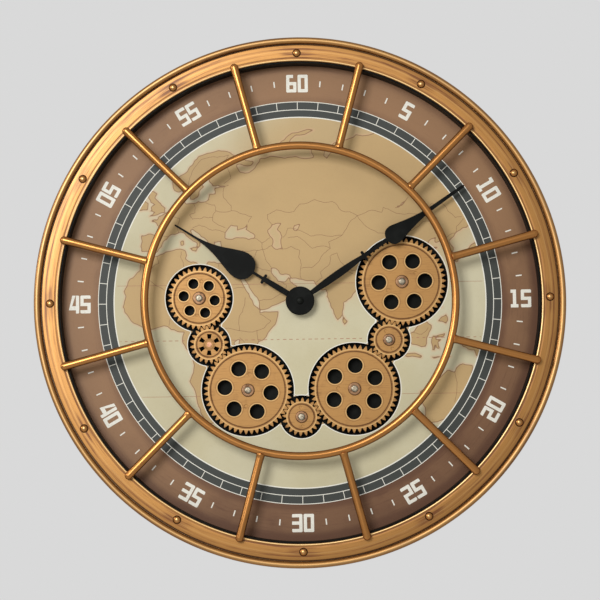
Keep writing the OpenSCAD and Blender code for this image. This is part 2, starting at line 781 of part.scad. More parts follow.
// The switch rests at the on end of its slot
module power_switch() color("crimson") in_drive() {
    x = switch_at[0] - switch_travel / 2;
    y = switch_at[1];
    slab(x - 2, y - 1.5, x + 2, y + 1.5, drive_d0 - 1, drive_d0 + lid_t + 0.4);
    slab(x - 4.4, y - 3, x + 4.4, y + 3, drive_d0 + lid_t + 0.3, drive_d0 + lid_t + 3);
}

case_rim();
bezel_ring();
bezel_rivets();
cage_ring();
for (i = [1:rod_count]) cage_rod(i);
rod_nuts();
reveal_ring();
dial_board();
dial_print();
frame_posts();
gear_plate();
plate_spacers();
plate_screws();
rear_cover();
cover_screws();
hanger_plate();
gear_posts();
cap_washers();
gear_screws();
gear_upper_right();
pinion_right();
gear_lower_right();
pinion_bottom();
gear_lower_left();
pinion_left();
gear_upper_left();
minute_hand();
hour_hand();
hand_nut();
movement_case();
movement_cover();
center_bushing();
bushing_nut();
rubber_washer();
center_wheel();
hour_wheel();
minute_wheel();
setting_knob();
step_motor();
movement_battery();
battery_contacts();
drive_housing();
drive_cover();
drive_motor();
motor_pinion();
drive_shaft();
reduction_wheel();
drive_batteries();
power_switch();
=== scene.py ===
import json
import math

import bmesh
import bpy
import numpy as np
from mathutils import Matrix, Vector

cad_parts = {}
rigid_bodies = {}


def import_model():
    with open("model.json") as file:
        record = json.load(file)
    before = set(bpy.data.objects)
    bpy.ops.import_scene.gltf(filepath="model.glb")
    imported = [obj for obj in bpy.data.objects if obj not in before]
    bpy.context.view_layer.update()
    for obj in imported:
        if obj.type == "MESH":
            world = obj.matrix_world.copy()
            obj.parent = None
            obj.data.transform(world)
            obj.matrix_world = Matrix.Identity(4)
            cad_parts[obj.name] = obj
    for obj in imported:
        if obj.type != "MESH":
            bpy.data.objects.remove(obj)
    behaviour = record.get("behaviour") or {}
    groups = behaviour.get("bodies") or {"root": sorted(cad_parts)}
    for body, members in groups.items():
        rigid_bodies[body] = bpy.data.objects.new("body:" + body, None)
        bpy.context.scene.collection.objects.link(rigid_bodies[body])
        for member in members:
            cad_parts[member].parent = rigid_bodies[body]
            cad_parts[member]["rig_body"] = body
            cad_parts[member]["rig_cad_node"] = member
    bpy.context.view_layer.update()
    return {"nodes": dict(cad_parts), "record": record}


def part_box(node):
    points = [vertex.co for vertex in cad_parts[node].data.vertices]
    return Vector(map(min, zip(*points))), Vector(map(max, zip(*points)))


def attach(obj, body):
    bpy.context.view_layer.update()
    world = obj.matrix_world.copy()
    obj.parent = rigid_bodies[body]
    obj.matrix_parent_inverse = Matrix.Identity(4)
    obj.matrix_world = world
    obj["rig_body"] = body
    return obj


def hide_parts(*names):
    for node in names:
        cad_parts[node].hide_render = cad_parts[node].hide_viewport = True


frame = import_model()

bl_info = {
    "name": "Skeleton Clock Finish",
    "version": (1, 0, 0),
    "blender": (4, 5, 0),
    "location": "View3D > Sidebar > Clock",
    "description": "Finishes a large skeleton wall clock: turned case, cage, printed dial, gears and hands",
    "category": "Add Mesh",
}

MM = 0.001
FLAT_ANGLE = 20.0  # degrees between faces, below which flat ink is smooth
EDGE_ANGLE = 38.0  # degrees between faces, above which an edge is rounded
PAPER = 0.38  # thickness of the printed paper, in millimetres
INK_SINK = 0.02  # how far the ink reaches into the paper, in millimetres
BEZEL_DROP = 2  # from the top of the lip down to the bezel's face, in millimetres
LEDGE = 3  # thickness of the ledge under the bezel, in millimetres
RIVET_CIRCLE = 281.6  # radius of the circle that the rivets stand on, in millimetres
STUD_DROP = 6.5  # from the bezel's back to the foot of a rod's stud, in millimetres


def from_box(node):
    """The largest radius and the front depth of a node, in millimetres."""
    low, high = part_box(node)
    return high.x / MM, -low.y / MM


def paint(red, green, blue):
    """A colour as the screen shows it, from 0 to 255, as the renderer takes it."""
    def channel(value):
        value = value / 255
        return value / 12.92 if value <= 0.04045 else ((value + 0.055) / 1.055) ** 2.4
    return (channel(red), channel(green), channel(blue), 1.0)


# ---- Sizes and colours ----


def shaded(tone, share):
    """A colour at a share of its lightness."""
    return tuple(part * share for part in tone[:3]) + (1.0,)


def length(label, about, millimetres):
    return bpy.props.FloatProperty(
        name=label, description=about, default=millimetres * MM, min=0.0,
        precision=5, unit="LENGTH", subtype="DISTANCE")


def tint(label, about, red, green, blue):
    return bpy.props.FloatVectorProperty(
        name=label, description=about, default=paint(red, green, blue),
        size=4, min=0.0, max=1.0, subtype="COLOR")


class ClockSizes(bpy.types.PropertyGroup):
    """The sizes that the finished pieces are made to."""
    case_r: length("Case radius", "Outside radius of the case", from_box("case_rim")[0])
    case_wall: length("Case wall", "Thickness of the case wall", 3.0)
    case_depth: length("Case depth", "From the wall to the top of the lip", from_box("case_rim")[1])
    lip_w: length("Lip width", "Width of the rounded lip", 7.3)
    bezel_r0: length("Bezel inner radius", "Inner radius of the bezel", 272.6)
    bezel_r1: length("Bezel outer radius", "Outer radius of the bezel", from_box("bezel_ring")[0])
    bezel_t: length("Bezel thickness", "Thickness of the bezel", 4.0)
    cage_r: length("Cage radius", "Radius of the cage ring at its tube's middle", 175.0)
    cage_tube_r: length("Cage tube radius", "Radius of the cage ring's tube", 4.5)
    rod_r: length("Rod radius", "Radius of a cage rod", 4.5)
    rod_reach: length("Rod reach", "Radius that the rods' outer ends reach", 278.7)
    face: length("Face depth", "Depth of the printed face", from_box("dial_print")[1])
    map_r: length("Map radius", "Radius of the printed map", 211.0)
    map_step: length("Map step", "Spacing of the map's grid", 1.5)
    ink: length("Ink thickness", "How proud the ink stands of the print", 0.05)
    digit_h: length("Numeral height", "Height of a numeral", 20.4)
    digit_w: length("Numeral width", "Width of one digit", 11.7)
    stroke: length("Numeral stroke", "Width of a digit's stroke", 3.7)
    numeral_r: length("Numeral circle", "Radius of the circle of numerals", 250.6)


class ClockColours(bpy.types.PropertyGroup):
    """The colours of the clock's finishes."""
    gold: tint("Gold", "Brushed gold of the case and bezel", 176, 125, 62)
    gold_streak: tint("Gold streak", "Brown streaks in the gold", 116, 68, 30)
    # Bright gold for wear, and also painted as highlights on the lip's crest, the bezel's inner edge, the
    # rivets' tops and the gears' ring lines and hole rims
    gold_light: tint("Wear and highlight gold", "Gold bright along edges from wear, and painted highlights", 238, 200, 138)
    copper: tint("Copper gold", "Satin copper gold of the cage", 186, 128, 70)
    # Also painted as shade along the sides of the cage's tubes
    copper_dark: tint("Copper shade", "Brown patina on the cage, and painted shade on its sides", 80, 44, 20)
    gear: tint("Gear lacquer", "Bronze lacquer of the gears", 176, 130, 72)
    # Also painted as shade in the gears' sunk ring lines
    gear_dark: tint("Gear patina", "Brown patina in the gears, and painted shade in their sunk ring lines", 112, 72, 34)
    ring_brown: tint("Chapter brown", "Brown of the numeral ring", 144, 105, 68)
    ring_edge: tint("Chapter edge", "Darker brown at the ring's edges", 92, 54, 24)
    band: tint("Band", "Dark band inside the numeral ring", 46, 50, 45)
    cream: tint("Cream", "Cream of the printed lines and numerals", 232, 229, 216)
    land: tint("Land", "Tan of the map's land", 188, 156, 104)
    sea: tint("Sea", "Pale beige of the map's sea", 190, 180, 144)
    coast: tint("Coast", "Brown of the coasts and borders", 128, 88, 52)
    black: tint("Black", "Satin black of the hands and backing", 7, 8, 6)


def size(name):
    """A size in millimetres."""
    return getattr(bpy.context.scene.clock_sizes, name) / MM


def colour(name):
    return tuple(getattr(bpy.context.scene.clock_colours, name))


def bezel_depths():
    """Depths of the bezel's face and back, in millimetres."""
    top = size("case_depth") - BEZEL_DROP
    return top, top - size("bezel_t")


# ---- Modelling helpers ----


def deselect():
    if bpy.context.object and bpy.context.object.mode != "OBJECT":
        bpy.ops.object.mode_set(mode="OBJECT")
    bpy.ops.object.select_all(action="DESELECT")


def pick(piece):
    deselect()
    piece.select_set(True)
    bpy.context.view_layer.objects.active = piece


def settle(piece, name, smooth=35.0):
    """Names a piece, applies its place and smooths it up to an angle between faces."""
    pick(piece)
    bpy.ops.object.transform_apply(location=True, rotation=True, scale=True)
    bpy.ops.object.shade_smooth_by_angle(angle=math.radians(smooth))
    piece.name = name
    piece.data.name = name
    return piece


def turned(name, outline, steps=256, smooth=35.0):
    """A body turned about the clock's axis from its closed [radius, depth] outline in millimetres."""
    deselect()
    r0, d0 = outline[0]
    bpy.ops.mesh.primitive_plane_add(size=MM, location=(r0 * MM, -d0 * MM, 0.0))
    piece = bpy.context.object
    bpy.ops.object.mode_set(mode="EDIT")
    bpy.ops.mesh.select_all(action="SELECT")
    bpy.ops.mesh.merge(type="CENTER")
    for (ra, da), (rb, db) in zip(outline, outline[1:] + outline[:1]):
        bpy.ops.mesh.extrude_vertices_move(
            TRANSFORM_OT_translate={"value": ((rb - ra) * MM, (da - db) * MM, 0.0)})
    bpy.ops.mesh.select_all(action="SELECT")
    bpy.ops.mesh.remove_doubles(threshold=1e-7)
    bpy.ops.mesh.select_all(action="SELECT")
    bpy.ops.mesh.spin(steps=steps, angle=2 * math.pi, center=(0.0, 0.0, 0.0), axis=(0.0, 1.0, 0.0))
    bpy.ops.mesh.select_all(action="SELECT")
    bpy.ops.mesh.remove_doubles(threshold=2e-6)
    bpy.ops.mesh.normals_make_consistent(inside=False)
    bpy.ops.object.mode_set(mode="OBJECT")
    return settle(piece, name, smooth)


def moved(piece, matrix):
    piece.data.transform(matrix)
    piece.data.update()
    return piece


def copy_of(piece, name):
    """A copy with its own mesh."""
    pick(piece)
    bpy.ops.object.duplicate(linked=False)
    made = bpy.context.object
    made.name = name
    made.data.name = name
    return made


def joined(name, pieces):
    deselect()
    for piece in pieces:
        piece.select_set(True)
    bpy.context.view_layer.objects.active = pieces[0]
    if len(pieces) > 1:
        bpy.ops.object.join()
    made = bpy.context.object
    made.name = name
    made.data.name = name
    return made


def round_axis(angle):
    """A turn about the clock's axis that carries +X to an angle in degrees, counted towards +Z."""
    return Matrix.Rotation(math.radians(-angle), 4, "Y")


def ring_of(piece, name, count, first):
    """A piece copied round the clock's axis and joined."""
    copies = [copy_of(piece, f"{name}_{i}") for i in range(1, count)]
    for i, made in enumerate(copies, 1):
        moved(made, round_axis(first + i * 360 / count))
    moved(piece, round_axis(first))
    return joined(name, [piece] + copies)


def arc(x, y, r, start, end, steps):
    return [(x + r * math.cos(math.radians(start + (end - start) * i / steps)),
             y + r * math.sin(math.radians(start + (end - start) * i / steps)))
            for i in range(steps + 1)]


def sheet_ink(name, outlines, low, high):
    """Thin flat ink from [x, z] outlines in millimetres, between two depths."""
    mesh = bpy.data.meshes.new(name)
    points = [(x * MM, -low * MM, z * MM) for outline in outlines for x, z in outline]
    faces, start = [], 0
    for outline in outlines:
        faces.append(tuple(range(start, start + len(outline))))
        start += len(outline)
    mesh.from_pydata(points, [], faces)
    piece = bpy.data.objects.new(name, mesh)
    bpy.context.scene.collection.objects.link(piece)
    pick(piece)
    bpy.ops.object.mode_set(mode="EDIT")
    bpy.ops.mesh.select_all(action="SELECT")
    bpy.ops.mesh.extrude_region_move(
        TRANSFORM_OT_translate={"value": (0.0, -(high - low) * MM, 0.0)})
    bpy.ops.mesh.select_all(action="SELECT")
    bpy.ops.mesh.normals_make_consistent(inside=False)
    bpy.ops.object.mode_set(mode="OBJECT")
    return settle(piece, name, FLAT_ANGLE)


def softened(node, edge):
    """A copy of a CAD node with its edges rounded, standing for the node."""
    source = frame["nodes"][node]
    pick(source)
    bpy.ops.object.duplicate(linked=False)
    piece = bpy.context.object
    piece.parent = None
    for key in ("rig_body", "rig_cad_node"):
        if key in piece:
            del piece[key]
    bpy.ops.object.mode_set(mode="EDIT")
    bpy.ops.mesh.select_all(action="SELECT")
    bpy.ops.mesh.remove_doubles(threshold=1e-6)
    bpy.ops.mesh.dissolve_limited(angle_limit=math.radians(1.0))
    bpy.ops.object.mode_set(mode="OBJECT")
    bevel = piece.modifiers.new("Edges", "BEVEL")
    bevel.width = edge * MM
    bevel.segments = 2
    bevel.limit_method = "ANGLE"
    bevel.angle_limit = math.radians(EDGE_ANGLE)
    bpy.ops.object.modifier_apply(modifier=bevel.name)
    settle(piece, node + "_finished", EDGE_ANGLE)
    flats = piece.modifiers.new("Flat faces", "WEIGHTED_NORMAL")
    flats.keep_sharp = True
    bpy.ops.object.modifier_apply(modifier=flats.name)
    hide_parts(node)
    return piece


def node_body(node):
    return frame["nodes"][node]["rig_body"]


def node_slot(node):
    for part in frame["record"]["subparts"]:
        if part["node"] == node:
            return part["material_slot"]
    raise ValueError(f"no material slot for {node}")


def fit(piece, material, body, slot):
    """Gives a piece its finish and body; the slot is not used."""
    piece.data.materials.clear()
    piece.data.materials.append(material)
    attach(piece, body)
    return piece


def finish_node(node, edge, material):
    return fit(softened(node, edge), material, node_body(node), node_slot(node))


def repaint(node, material):
    """A CAD node whose shape is right keeps it and takes a finish."""
    piece = frame["nodes"][node]
    if not piece.material_slots:
        piece.data.materials.append(material)
    for place in piece.material_slots:
        place.material = material


# ---- Shader helpers ----


class Wire:
    """A socket whose sums and products add Math nodes to its finish."""

    def __init__(self, finish, socket):
        self.finish = finish
        self.socket = socket

    def __add__(self, other):
        return self.finish.maths("ADD", self, other)

    __radd__ = __add__

    def __sub__(self, other):
        return self.finish.maths("SUBTRACT", self, other)

    def __rsub__(self, other):
        return self.finish.maths("SUBTRACT", other, self)

    def __mul__(self, other):
        return self.finish.maths("MULTIPLY", self, other)

    __rmul__ = __mul__

    def __truediv__(self, other):
        return self.finish.maths("DIVIDE", self, other)

    def __lt__(self, other):
        return self.finish.maths("LESS_THAN", self, other)

    def __pow__(self, other):
        return self.finish.maths("POWER", self, other)

    def __abs__(self):
        return self.finish.maths("ABSOLUTE", self)

    def between(self, low, high):
        """Rises from 0 to 1 as the value goes from low to high."""
        return self.finish.node("MapRange", {"interpolation_type": "SMOOTHSTEP"},
                                {"Value": self, "From Min": low, "From Max": high})

    def near(self, middle, reach):
        """1 at the middle, falling to 0 at a reach either side."""
        return 1 - abs(self - middle).between(0.0, reach)


class Finish:
    """A procedural material and the one method that adds its nodes."""

    def __init__(self, name, metallic=0.0, roughness=0.5, **constants):
        self.material = bpy.data.materials.new(name)
        self.material.use_nodes = True
        self.tree = self.material.node_tree
        self.shader = self.tree.nodes["Principled BSDF"]
        self.shader.inputs["Metallic"].default_value = metallic
        self.shader.inputs["Roughness"].default_value = roughness
        for socket, value in constants.items():
            self.shader.inputs[socket.replace("_", " ")].default_value = value

    def node(self, kind, settings=None, links=None, out=0):
        made = self.tree.nodes.new("ShaderNode" + kind)
        for name, value in (settings or {}).items():
            setattr(made, name, value)
        for key, value in (links or {}).items():
            self.join(value, made.inputs[key])
        return Wire(self, made.outputs[out])

    def maths(self, operation, first, second=0.0):
        return self.node("Math", {"operation": operation}, {0: first, 1: second})

    def join(self, value, socket):
        if isinstance(value, Wire):
            self.tree.links.new(value.socket, socket)
        else:
            socket.default_value = value

    def place(self, centre=(0.0, 0.0, 0.0)):
        """Object coordinates in millimetres about a centre given in millimetres."""
        here = self.node("TexCoord", out="Object")
        return self.node("VectorMath", {"operation": "MULTIPLY_ADD"},
                         {0: here, 1: (1 / MM,) * 3, 2: tuple(-c for c in centre)})

    def axes(self, vector):
        split = self.node("SeparateXYZ", None, {0: vector}, out="X")
        outputs = split.socket.node.outputs
        return split, Wire(self, outputs["Y"]), Wire(self, outputs["Z"])

    def vector(self, x, y, z):
        return self.node("CombineXYZ", None, {"X": x, "Y": y, "Z": z})

    def noise(self, vector, scale, detail=4.0, rough=0.55):
        return self.node("TexNoise", None, {
            "Vector": vector, "Scale": scale, "Detail": detail, "Roughness": rough})

    def mix(self, share, first, second):
        """A mix of two colours."""
        return self.node("Mix", {"data_type": "RGBA"}, {0: share, 6: first, 7: second}, out=2)

    def wheel(self, centre=(0.0, 0.0, 0.0)):
        """Radius in millimetres, and a seamless vector that runs along circles, about an axis along Y."""
        x, y, z = self.axes(self.place(centre))
        radius = (x * x + z * z) ** 0.5
        safe = radius + 0.001
        return radius, x / safe, y, z / safe

    def bump(self, height, strength, distance=0.2):
        normal = self.node("Bump", None, {
            "Strength": strength, "Distance": distance * MM, "Height": height})
        self.join(normal, self.shader.inputs["Normal"])

    def base(self, value):
        self.join(value, self.shader.inputs["Base Color"])

    def rough(self, value):
        self.join(value, self.shader.inputs["Roughness"])


# ---- Finishes ----


def gold_finish(name, tone_marks, wear_and_highlight_rings, lip_gap_shade=None):
    """Brushed gold with brown streaks that run round the clock's axis.

    tone_marks are (radius, reach, strength) of darker rings; wear_and_highlight_rings are the same for
    brighter rings, which are partly wear on edges and partly painted highlights."""
    made = Finish(name, metallic=0.95, roughness=0.42, Coat_Weight=0.6, Coat_Roughness=0.35)
    radius, east, depth, north = made.wheel()
    fine = made.noise(made.vector((radius + depth) * 1.3, east * 9, north * 9), 1.0, 5.0, 0.62)
    broad = made.noise(made.vector((radius + depth) * 0.3, east * 3, north * 3), 1.0, 4.0, 0.6)
    speckle = made.noise(made.place(), 0.9, 3.0, 0.7)
    turn = made.maths("ARCTAN2", north, east)
    by_rivet = made.maths("COSINE", turn * 12).between(0.55, 1.0) * radius.near(RIVET_CIRCLE, 8.0)
    brown = fine.between(0.48, 0.68) * 0.5 + broad.between(0.44, 0.68) * 0.4
    brown = brown + by_rivet * broad.between(0.3, 0.6) * 0.7
    for ring, reach, strength in tone_marks:
        brown = brown + radius.near(ring, reach) * strength * (0.5 + broad)
    # Random wear, plus the brighter rings given, which paint highlights on rounded edges such as the lip's
    # crest and, partly as wear, the bezel's inner edge
    edge_wear_and_highlight = speckle.between(0.6, 0.8) * 0.2
    for ring, reach, strength in wear_and_highlight_rings:
        edge_wear_and_highlight = edge_wear_and_highlight + radius.near(ring, reach) * strength * (0.5 + fine)
    painted = made.mix(brown.between(0.0, 1.2), colour("gold"), colour("gold_streak"))
    painted = made.mix(edge_wear_and_highlight.between(0.0, 1.0), painted, colour("gold_light"))
    # Painted shade: black mixed in near a radius, darkening the gap between the lip and the bezel
    if lip_gap_shade:
        painted = made.mix(radius.near(*lip_gap_shade) * 0.95, painted, colour("black"))
    made.base(painted)
    made.rough(0.39 + brown * 0.12 + speckle * 0.08)
    made.bump(fine * 0.7 + speckle * 0.3, 0.16, 0.1)
    return made.material


def copper_finish(name, axis_depth):
    """Satin copper gold with shade painted brown along its sides, away from the front, and with patina and
    fine dark speckle.
    """
    made = Finish(name, metallic=0.95, roughness=0.33)
    place = made.place()
    depth = 0 - made.axes(place)[1]
    broad = made.noise(place, 0.04, 4.0, 0.6)
    fine = made.noise(place, 0.9, 4.0, 0.65)
    specks = made.noise(place, 2.2, 2.0, 0.5)
    # Painted shade: darker on the tube's sides and back, away from the front
    flank_shade = 1 - depth.between(axis_depth + 0.9, axis_depth + 3.3)
    # patina here also carries the painted shade on the sides
    patina = broad.between(0.5, 0.72) * 0.35 + fine.between(0.5, 0.78) * 0.3 + flank_shade * 0.85
    tone = made.mix(patina.between(0.0, 1.2), colour("copper"), colour("copper_dark"))
    tone = made.mix(specks.between(0.64, 0.72) * 0.6, tone, colour("copper_dark"))
    tone = made.mix(fine.between(0.62, 0.8) * 0.35, tone, colour("gold_light"))
    made.base(tone)
    made.rough(0.27 + patina * 0.16 + fine * 0.06)
    made.bump(fine + specks * 0.3, 0.18, 0.1)
    return made.material


def gear_finish(name, x, z, rim, tilt, holes):
    """Bronze lacquer brushed across a gear, browner near its teeth and at its hub, with shade painted in the
    sunk ring line inside its teeth and a highlight painted just outside that line.

    holes is the circle, the radius and the first angle of its six holes, whose rims get a painted highlight
    with a darker ring just outside."""
    made = Finish(name, metallic=0.45, roughness=0.45)
    radius, east, _, north = made.wheel((x, 0.0, z))
    place = made.place((x, 0.0, z))
    grain = made.node("Mapping", None, {
        "Vector": place, "Rotation": (0.0, math.radians(tilt), 0.0), "Scale": (0.05, 0.3, 1.1)})
    brushed = made.noise(grain, 1.0, 6.0, 0.62)
    cloudy = made.noise(place, 0.07, 3.0, 0.55)
    grit = made.noise(place, 1.5, 3.0, 0.6)
    brown = brushed.between(0.46, 0.72) * 0.5 + cloudy.between(0.5, 0.7) * 0.25
    # The first ring is painted shade in the gear's sunk ring line; the hub ring is browner
    brown = brown + radius.near(rim, 1.6) * 0.9 + radius.near(5.4, 2.4) * 0.5
    brown = brown + radius.between(rim + 4.2, rim + 8.5) * 0.5
    tone = made.mix(brown.between(0.0, 1.1), colour("gear"), colour("gear_dark"))
    # Painted highlight just outside the sunk ring line, plus bright grit
    tone = made.mix(radius.near(rim + 2.4, 0.9) * 0.5 + grit.between(0.66, 0.78) * 0.3,
                    tone, colour("gold_light"))
    if holes:
        circle, hole_r, first = holes
        sector = math.pi / 3
        turn = made.maths("ARCTAN2", north, east) - math.radians(first) + sector / 2
        turn = made.maths("FLOORED_MODULO", turn, sector) - sector / 2
        across = radius * made.maths("COSINE", turn) * (2 * circle)
        gap = (radius * radius + circle ** 2 - across) ** 0.5
        # A darker ring round each hole, then a painted highlight on the hole's rounded rim
        tone = made.mix(gap.near(hole_r + 1.9, 0.9) * 0.4, tone, colour("gear_dark"))
        tone = made.mix(gap.near(hole_r + 0.5, 0.9) * 0.55, tone, colour("gold_light"))
    made.base(tone)
    made.rough(0.38 + brown * 0.2 + grit * 0.08)
    made.bump(brushed * 0.6 + grit * 0.4, 0.08, 0.06)
    return made.material


def satin_black(name, lift=1.0):
    """Satin black paint with a faint orange peel and dust."""
    made = Finish(name, metallic=0.0, roughness=0.5, Specular_IOR_Level=0.08)
    place = made.place()
    peel = made.noise(place, 1.1, 3.0, 0.5)
    dust = made.noise(place, 0.06, 5.0, 0.65)
    grey = tuple(min(1.0, c * 1.8 * lift + 0.003) for c in colour("black")[:3]) + (1.0,)
    made.base(made.mix(dust.between(0.42, 0.75), shaded(colour("black"), lift), grey))
    made.rough(0.36 + peel * 0.16)
    made.bump(peel, 0.12, 0.1)
    return made.material


def metal_finish(name, tone, shade, roughness):
    """Bare metal with turning or rolling marks and dull patches."""
    made = Finish(name, metallic=1.0, roughness=roughness)
    place = made.place()
    rolled = made.node("Mapping", None, {"Vector": place, "Scale": (0.4, 3.0, 3.0)})
    marks = made.noise(rolled, 1.0, 4.0, 0.6)
    dull = made.noise(place, 0.25, 4.0, 0.6)
    made.base(made.mix(dull.between(0.4, 0.72) * 0.8 + marks * 0.15, tone, shade))
    made.rough(roughness + dull * 0.2 + marks * 0.08)
    made.bump(marks, 0.14, 0.06)
    return made.material


# Each metal's tone, its shade and its roughness.
METALS = {
    "zinc_nuts": ((205, 205, 205), (150, 150, 148), 0.3),
    "cap_bronze": ((158, 122, 92), (92, 64, 44), 0.34),
    "bright_steel": ((190, 180, 158), (104, 92, 76), 0.3),
    "post_steel": ((190, 190, 188), (120, 120, 118), 0.3),
    "zinc_plate": ((206, 208, 206), (158, 160, 158), 0.34),
    "post_grey": ((128, 128, 126), (84, 84, 82), 0.36),
    "turned_brass": ((206, 168, 92), (150, 112, 52), 0.28),
    "pin_bronze": ((196, 148, 118), (140, 96, 70), 0.3),
    "coil_copper": ((176, 96, 56), (112, 58, 32), 0.36),
    "motor_can": ((176, 178, 178), (120, 122, 122), 0.3),
    "contact_spring": ((214, 210, 200), (150, 146, 136), 0.24),
}


def metal(name):
    tone, shade, roughness = METALS[name]
    return metal_finish(name, paint(*tone), paint(*shade), roughness)


def plastic_finish(name, tone, shade, roughness=0.45, grain=1.6):
    """Moulded plastic with a fine eroded texture."""
    made = Finish(name, metallic=0.0, roughness=roughness)
    place = made.place()
    texture = made.noise(place, grain, 3.0, 0.55)
    drawn = made.node("Mapping", None, {"Vector": place, "Scale": (0.02, 0.1, 0.09)})
    flow = made.noise(drawn, 1.0, 4.0, 0.6)
    made.base(made.mix(flow.between(0.35, 0.7) * 0.7 + texture * 0.2, tone, shade))
    made.rough(roughness - 0.06 + texture * 0.16)
    made.bump(texture, 0.2, 0.08)
    return made.material


def board_finish(name, tone, shade, fibre_scale):
    """Pressed fibre board: short fibres, clumps and a few dark flecks."""
    made = Finish(name, metallic=0.0, roughness=0.82)
    place = made.place()
    fibres = made.noise(made.node("Mapping", None, {
        "Vector": place, "Scale": (fibre_scale * 0.35, fibre_scale * 2, fibre_scale)}), 1.0, 6.0, 0.7)
    clumps = made.noise(place, fibre_scale * 0.12, 4.0, 0.6)
    flecks = made.noise(place, fibre_scale * 1.4, 2.0, 0.5)
    blend = made.mix(fibres.between(0.35, 0.7) * 0.6 + clumps.between(0.4, 0.7) * 0.4, tone, shade)
    made.base(made.mix(flecks.between(0.68, 0.76) * 0.7, blend, shaded(shade, 0.35)))
    made.rough(0.74 + fibres * 0.16)
    made.bump(fibres + flecks * 0.4, 0.35, 0.15)
    return made.material


# Each printed ring inside the numerals, from the widest: its outer radius in millimetres and its colour.
CHAPTER_RINGS = ((229.8, "cream"), (229.0, "band"), (220.6, "cream"), (219.8, "band"), (212.2, "cream"))


def chapter_finish():
    """The printed ring round the map: brown numeral ring, dark band and cream lines, with shade painted
    towards the lower right.
    """
    made = Finish("chapter_print", roughness=0.55)
    radius, east, _, north = made.wheel()
    place = made.place()
    wash = made.noise(place, 0.012, 5.0, 0.6)
    grain = made.noise(made.vector(radius * 0.5, east * 9, north * 9), 1.0, 5.0, 0.65)
    grit = made.noise(place, 0.8, 3.0, 0.6)
    edge = radius.between(258.0, 270.0) * 0.65 + radius.near(231.0, 9.0) * 0.4
    # Painted shade: darker towards the lower right, as the light falls off from the upper left
    lower_right_painted_shade = (east * 0.5 - north).between(-0.3, 1.2) * 0.8
    aged = wash.between(0.45, 0.75) * 0.35 + grain.between(0.5, 0.8) * 0.3
    tone = made.mix((edge + lower_right_painted_shade + aged).between(0.0, 1.3), colour("ring_brown"), colour("ring_edge"))
    for reach, name in CHAPTER_RINGS:
        tone = made.mix(radius < reach, tone, colour(name))
    made.base(made.mix(grit.between(0.55, 0.8) * 0.16, tone, colour("ring_edge")))
    made.rough(0.48 + grit * 0.14)
    made.bump(grit, 0.08, 0.05)
    return made.material


def map_finish():
    """The printed map, from the signed distance to its coasts that each point carries."""
    made = Finish("map_print", roughness=0.55)
    shore = made.node("Attribute", {"attribute_name": "shore"}, out="Fac")
    rim = made.node("Attribute", {"attribute_name": "rim"}, out="Fac")
    place = made.place()
    wash = made.noise(place, 0.008, 5.0, 0.6)
    mottle = made.noise(place, 0.05, 4.0, 0.6)
    grit = made.noise(place, 0.8, 3.0, 0.6)
    halo = paint(204, 164, 126)
    land = made.mix(wash.between(0.35, 0.7) * 0.6 + mottle * 0.25, colour("land"),
                    shaded(colour("land"), 0.86))
    pale_sea = paint(200, 192, 160)
    x, _, z = made.axes(place)
    from_steppe = ((x - 60) * (x - 60) * 0.6 + (z - 130) * (z - 130)) ** 0.5
    sea = made.mix(wash.between(0.35, 0.7), colour("sea"), pale_sea)
    sea = made.mix((1 - from_steppe.between(80.0, 150.0)) * 0.8, sea, colour("land"))
    sea = made.mix((1 - (0 - shore).between(0.0, 3.4)) * 0.55, sea, halo)
    tone = made.mix(shore.between(-0.12, 0.12), sea, land)
    tone = made.mix((1 - abs(shore).between(0.26, 0.6)) * 0.85, tone, colour("coast"))
    tone = made.mix(grit.between(0.55, 0.8) * 0.12, tone, colour("coast"))
    tone = made.mix(1 - rim.between(0.7, 1.0), tone, colour("cream"))
    made.base(tone)
    made.rough(0.5 + grit * 0.12)
    made.bump(grit, 0.07, 0.05)
    return made.material


def ink_finish(name, tone, shade):
    made = Finish(name, roughness=0.5)
    place = made.place()
    wear = made.noise(place, 0.5, 5.0, 0.65)
    made.base(made.mix(wear.between(0.45, 0.75) * 0.5, tone, shade))
    made.rough(0.44 + wear * 0.18)
    return made.material


def cell_finish(name):
    """A dry cell's plain two-colour wrap with a bare can at its ends."""
    made = Finish(name, metallic=0.3, roughness=0.3)
    scuff = made.noise(made.place(), 0.7, 4.0, 0.6)
    band = made.mix(scuff.between(0.4, 0.75) * 0.5, paint(30, 70, 52), paint(18, 44, 34))
    made.base(made.mix(scuff.between(0.68, 0.76) * 0.5, band, paint(150, 156, 150)))
    made.rough(0.26 + scuff * 0.2)
    return made.material


# ---- The map's outline, as longitude and latitude ----

